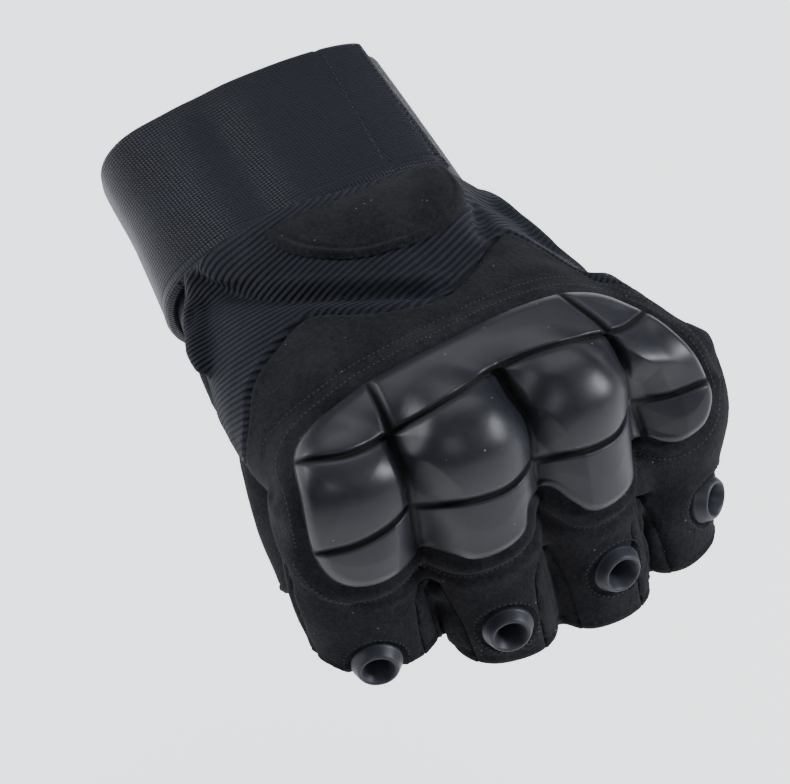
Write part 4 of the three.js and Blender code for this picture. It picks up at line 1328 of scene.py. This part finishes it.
def aroundEyelet(foot, out, down):
    path, outs = [], []
    side = np.cross(out, down)
    for a in np.linspace(0, 2 * math.pi, 60):
        start = foot + out * 8 + eyelet["stitchedAt"] * (math.cos(a) * side + math.sin(a) * down)
        hit, normal = onSkin(start, -out)
        if hit is not None and abs((hit - foot) @ out) < 2.6 and mouths(hit[None])[0] > 1.2:
            path.append(hit)
            outs.append(normal)
    return np.array(path), np.array(outs)


stitches = {"pitch": 1.15, "long": 0.75, "thick": 0.5}
# Piece, distance from the guard, the part of its outline, and the least gap that breaks the line
guardSeams = [
    ("guard_stitch_1", 2.2, -5, 30, 0),
    ("guard_stitch_2", 4.0, -5, 30, 0),
    ("guard_stitch_below", 3.4, 30, 60, 6),
]
for name, offset, low, high, least in guardSeams:
    sewn(name, *fromGap(*aroundGuard(offset, low, high), least), **stitches)
for name, place in eyeletPlaces.items():
    sewn("vent_stitch_" + name, *fromGap(*aroundEyelet(*place), 2), **stitches)


# A line across the strap, at the y that is given for each share of its width
def acrossStrap(yAt, low, high, lift=0.05, steps=60):
    points, normals, v = strap
    path, outs = [], []
    for share in np.linspace(low, high, steps):
        near = np.nonzero((np.abs(v - share * v.max()) < v.max() / steps) & (points[:, 2] > 0))[0]
        at = near[np.argmin(np.abs(points[near, 1] - yAt(share)))]
        path.append(points[at] + normals[at] * lift)
        outs.append(normals[at])
    path = np.array(path)
    for _ in range(4):
        path = np.vstack([path[:1], (path[:-2] + 2 * path[1:-1] + path[2:]) / 4, path[-1:]])
    return path, np.array(outs)


strapStitch = acrossStrap(lambda share: 18.2 - 2.3 * share, 0.07, 0.88)
sewn("strap_stitch", *strapStitch, 1.9, 1.5, 0.5, slot="webbing")
endStitch = acrossStrap(lambda share: 27.2 + 2.6 * share, 0.03, 0.97)
sewn("strap_end_stitch", *endStitch, 1.5, 1.2, 0.45, slot="webbing")
print("sewn lines made")

# Camera at the photograph's angle
camera = bpy.data.objects.new("camera", bpy.data.cameras.new("camera"))
camera.data.lens = view["lens"]
camera.data.sensor_width = 36
camera.data.clip_start = 0.05
sides = zip(view["right"], view["up"], view["back"], view["place"])
camera.matrix_world = Matrix([list(row) for row in sides] + [[0, 0, 0, 1]])
bpy.context.scene.collection.objects.link(camera)
bpy.context.scene.camera = camera

# Floor and light
studio = {
    "floorZ": -0.16, "floorHalf": 3.0, "floorColour": (0.93, 0.93, 0.935, 1), "floorGlow": 0.6,
    "sky": 0.2, "skyColour": (0.93, 0.955, 1, 1), "lightColour": (0.92, 0.945, 1.0),
    # How far right, up and towards the camera each light stands, its distance, size and power
    "lights": {
        "upperLeft": ((-1.0, 0.45, 0.1), 1.3, 0.7, 20),
        "right": ((0.83, 0.3, 0.4), 1.3, 0.36, 27),
        "overhead": ((0.0, 1.0, 0.2), 2.4, 2.2, 52),
        "front": ((-0.05, 0.0, 1.0), 2.2, 0.6, 15),
    },
}
floorMesh = bpy.data.meshes.new("floor")
half = studio["floorHalf"]
corners = [(-half, -half, 0), (half, -half, 0), (half, half, 0), (-half, half, 0)]
floorMesh.from_pydata(corners, [], [(0, 1, 2, 3)])
floor = bpy.data.objects.new("floor", floorMesh)
floor.location.z = studio["floorZ"]
paleFloor = Finish("paleFloor")
paleFloor.set(Base_Color=studio["floorColour"], Roughness=0.95, Specular_IOR_Level=0.0,
              Emission_Color=(1, 1, 1, 1), Emission_Strength=studio["floorGlow"])
floorMesh.materials.append(paleFloor.material)
bpy.context.scene.collection.objects.link(floor)

world = bpy.data.worlds.new("softRoom")
world.use_nodes = True
world.node_tree.nodes["Background"].inputs["Color"].default_value = studio["skyColour"]
world.node_tree.nodes["Background"].inputs["Strength"].default_value = studio["sky"]
bpy.context.scene.world = world


def softLight(name, way, distance, size, power):
    light = bpy.data.lights.new(name, "AREA")
    light.shape = "SQUARE"
    light.size, light.energy, light.color = size, power, studio["lightColour"]
    lamp = bpy.data.objects.new(name, light)
    parts = [Vector(view[key]) * share for key, share in zip(("right", "up", "back"), way)]
    way = sum(parts, Vector()).normalized()
    lamp.location = Vector((0.06, 0, 0)) + way * distance
    lamp.rotation_euler = way.to_track_quat("Z", "Y").to_euler()
    bpy.context.scene.collection.objects.link(lamp)


for name, measures in studio["lights"].items():
    softLight(name, *measures)
print("camera and lights set")
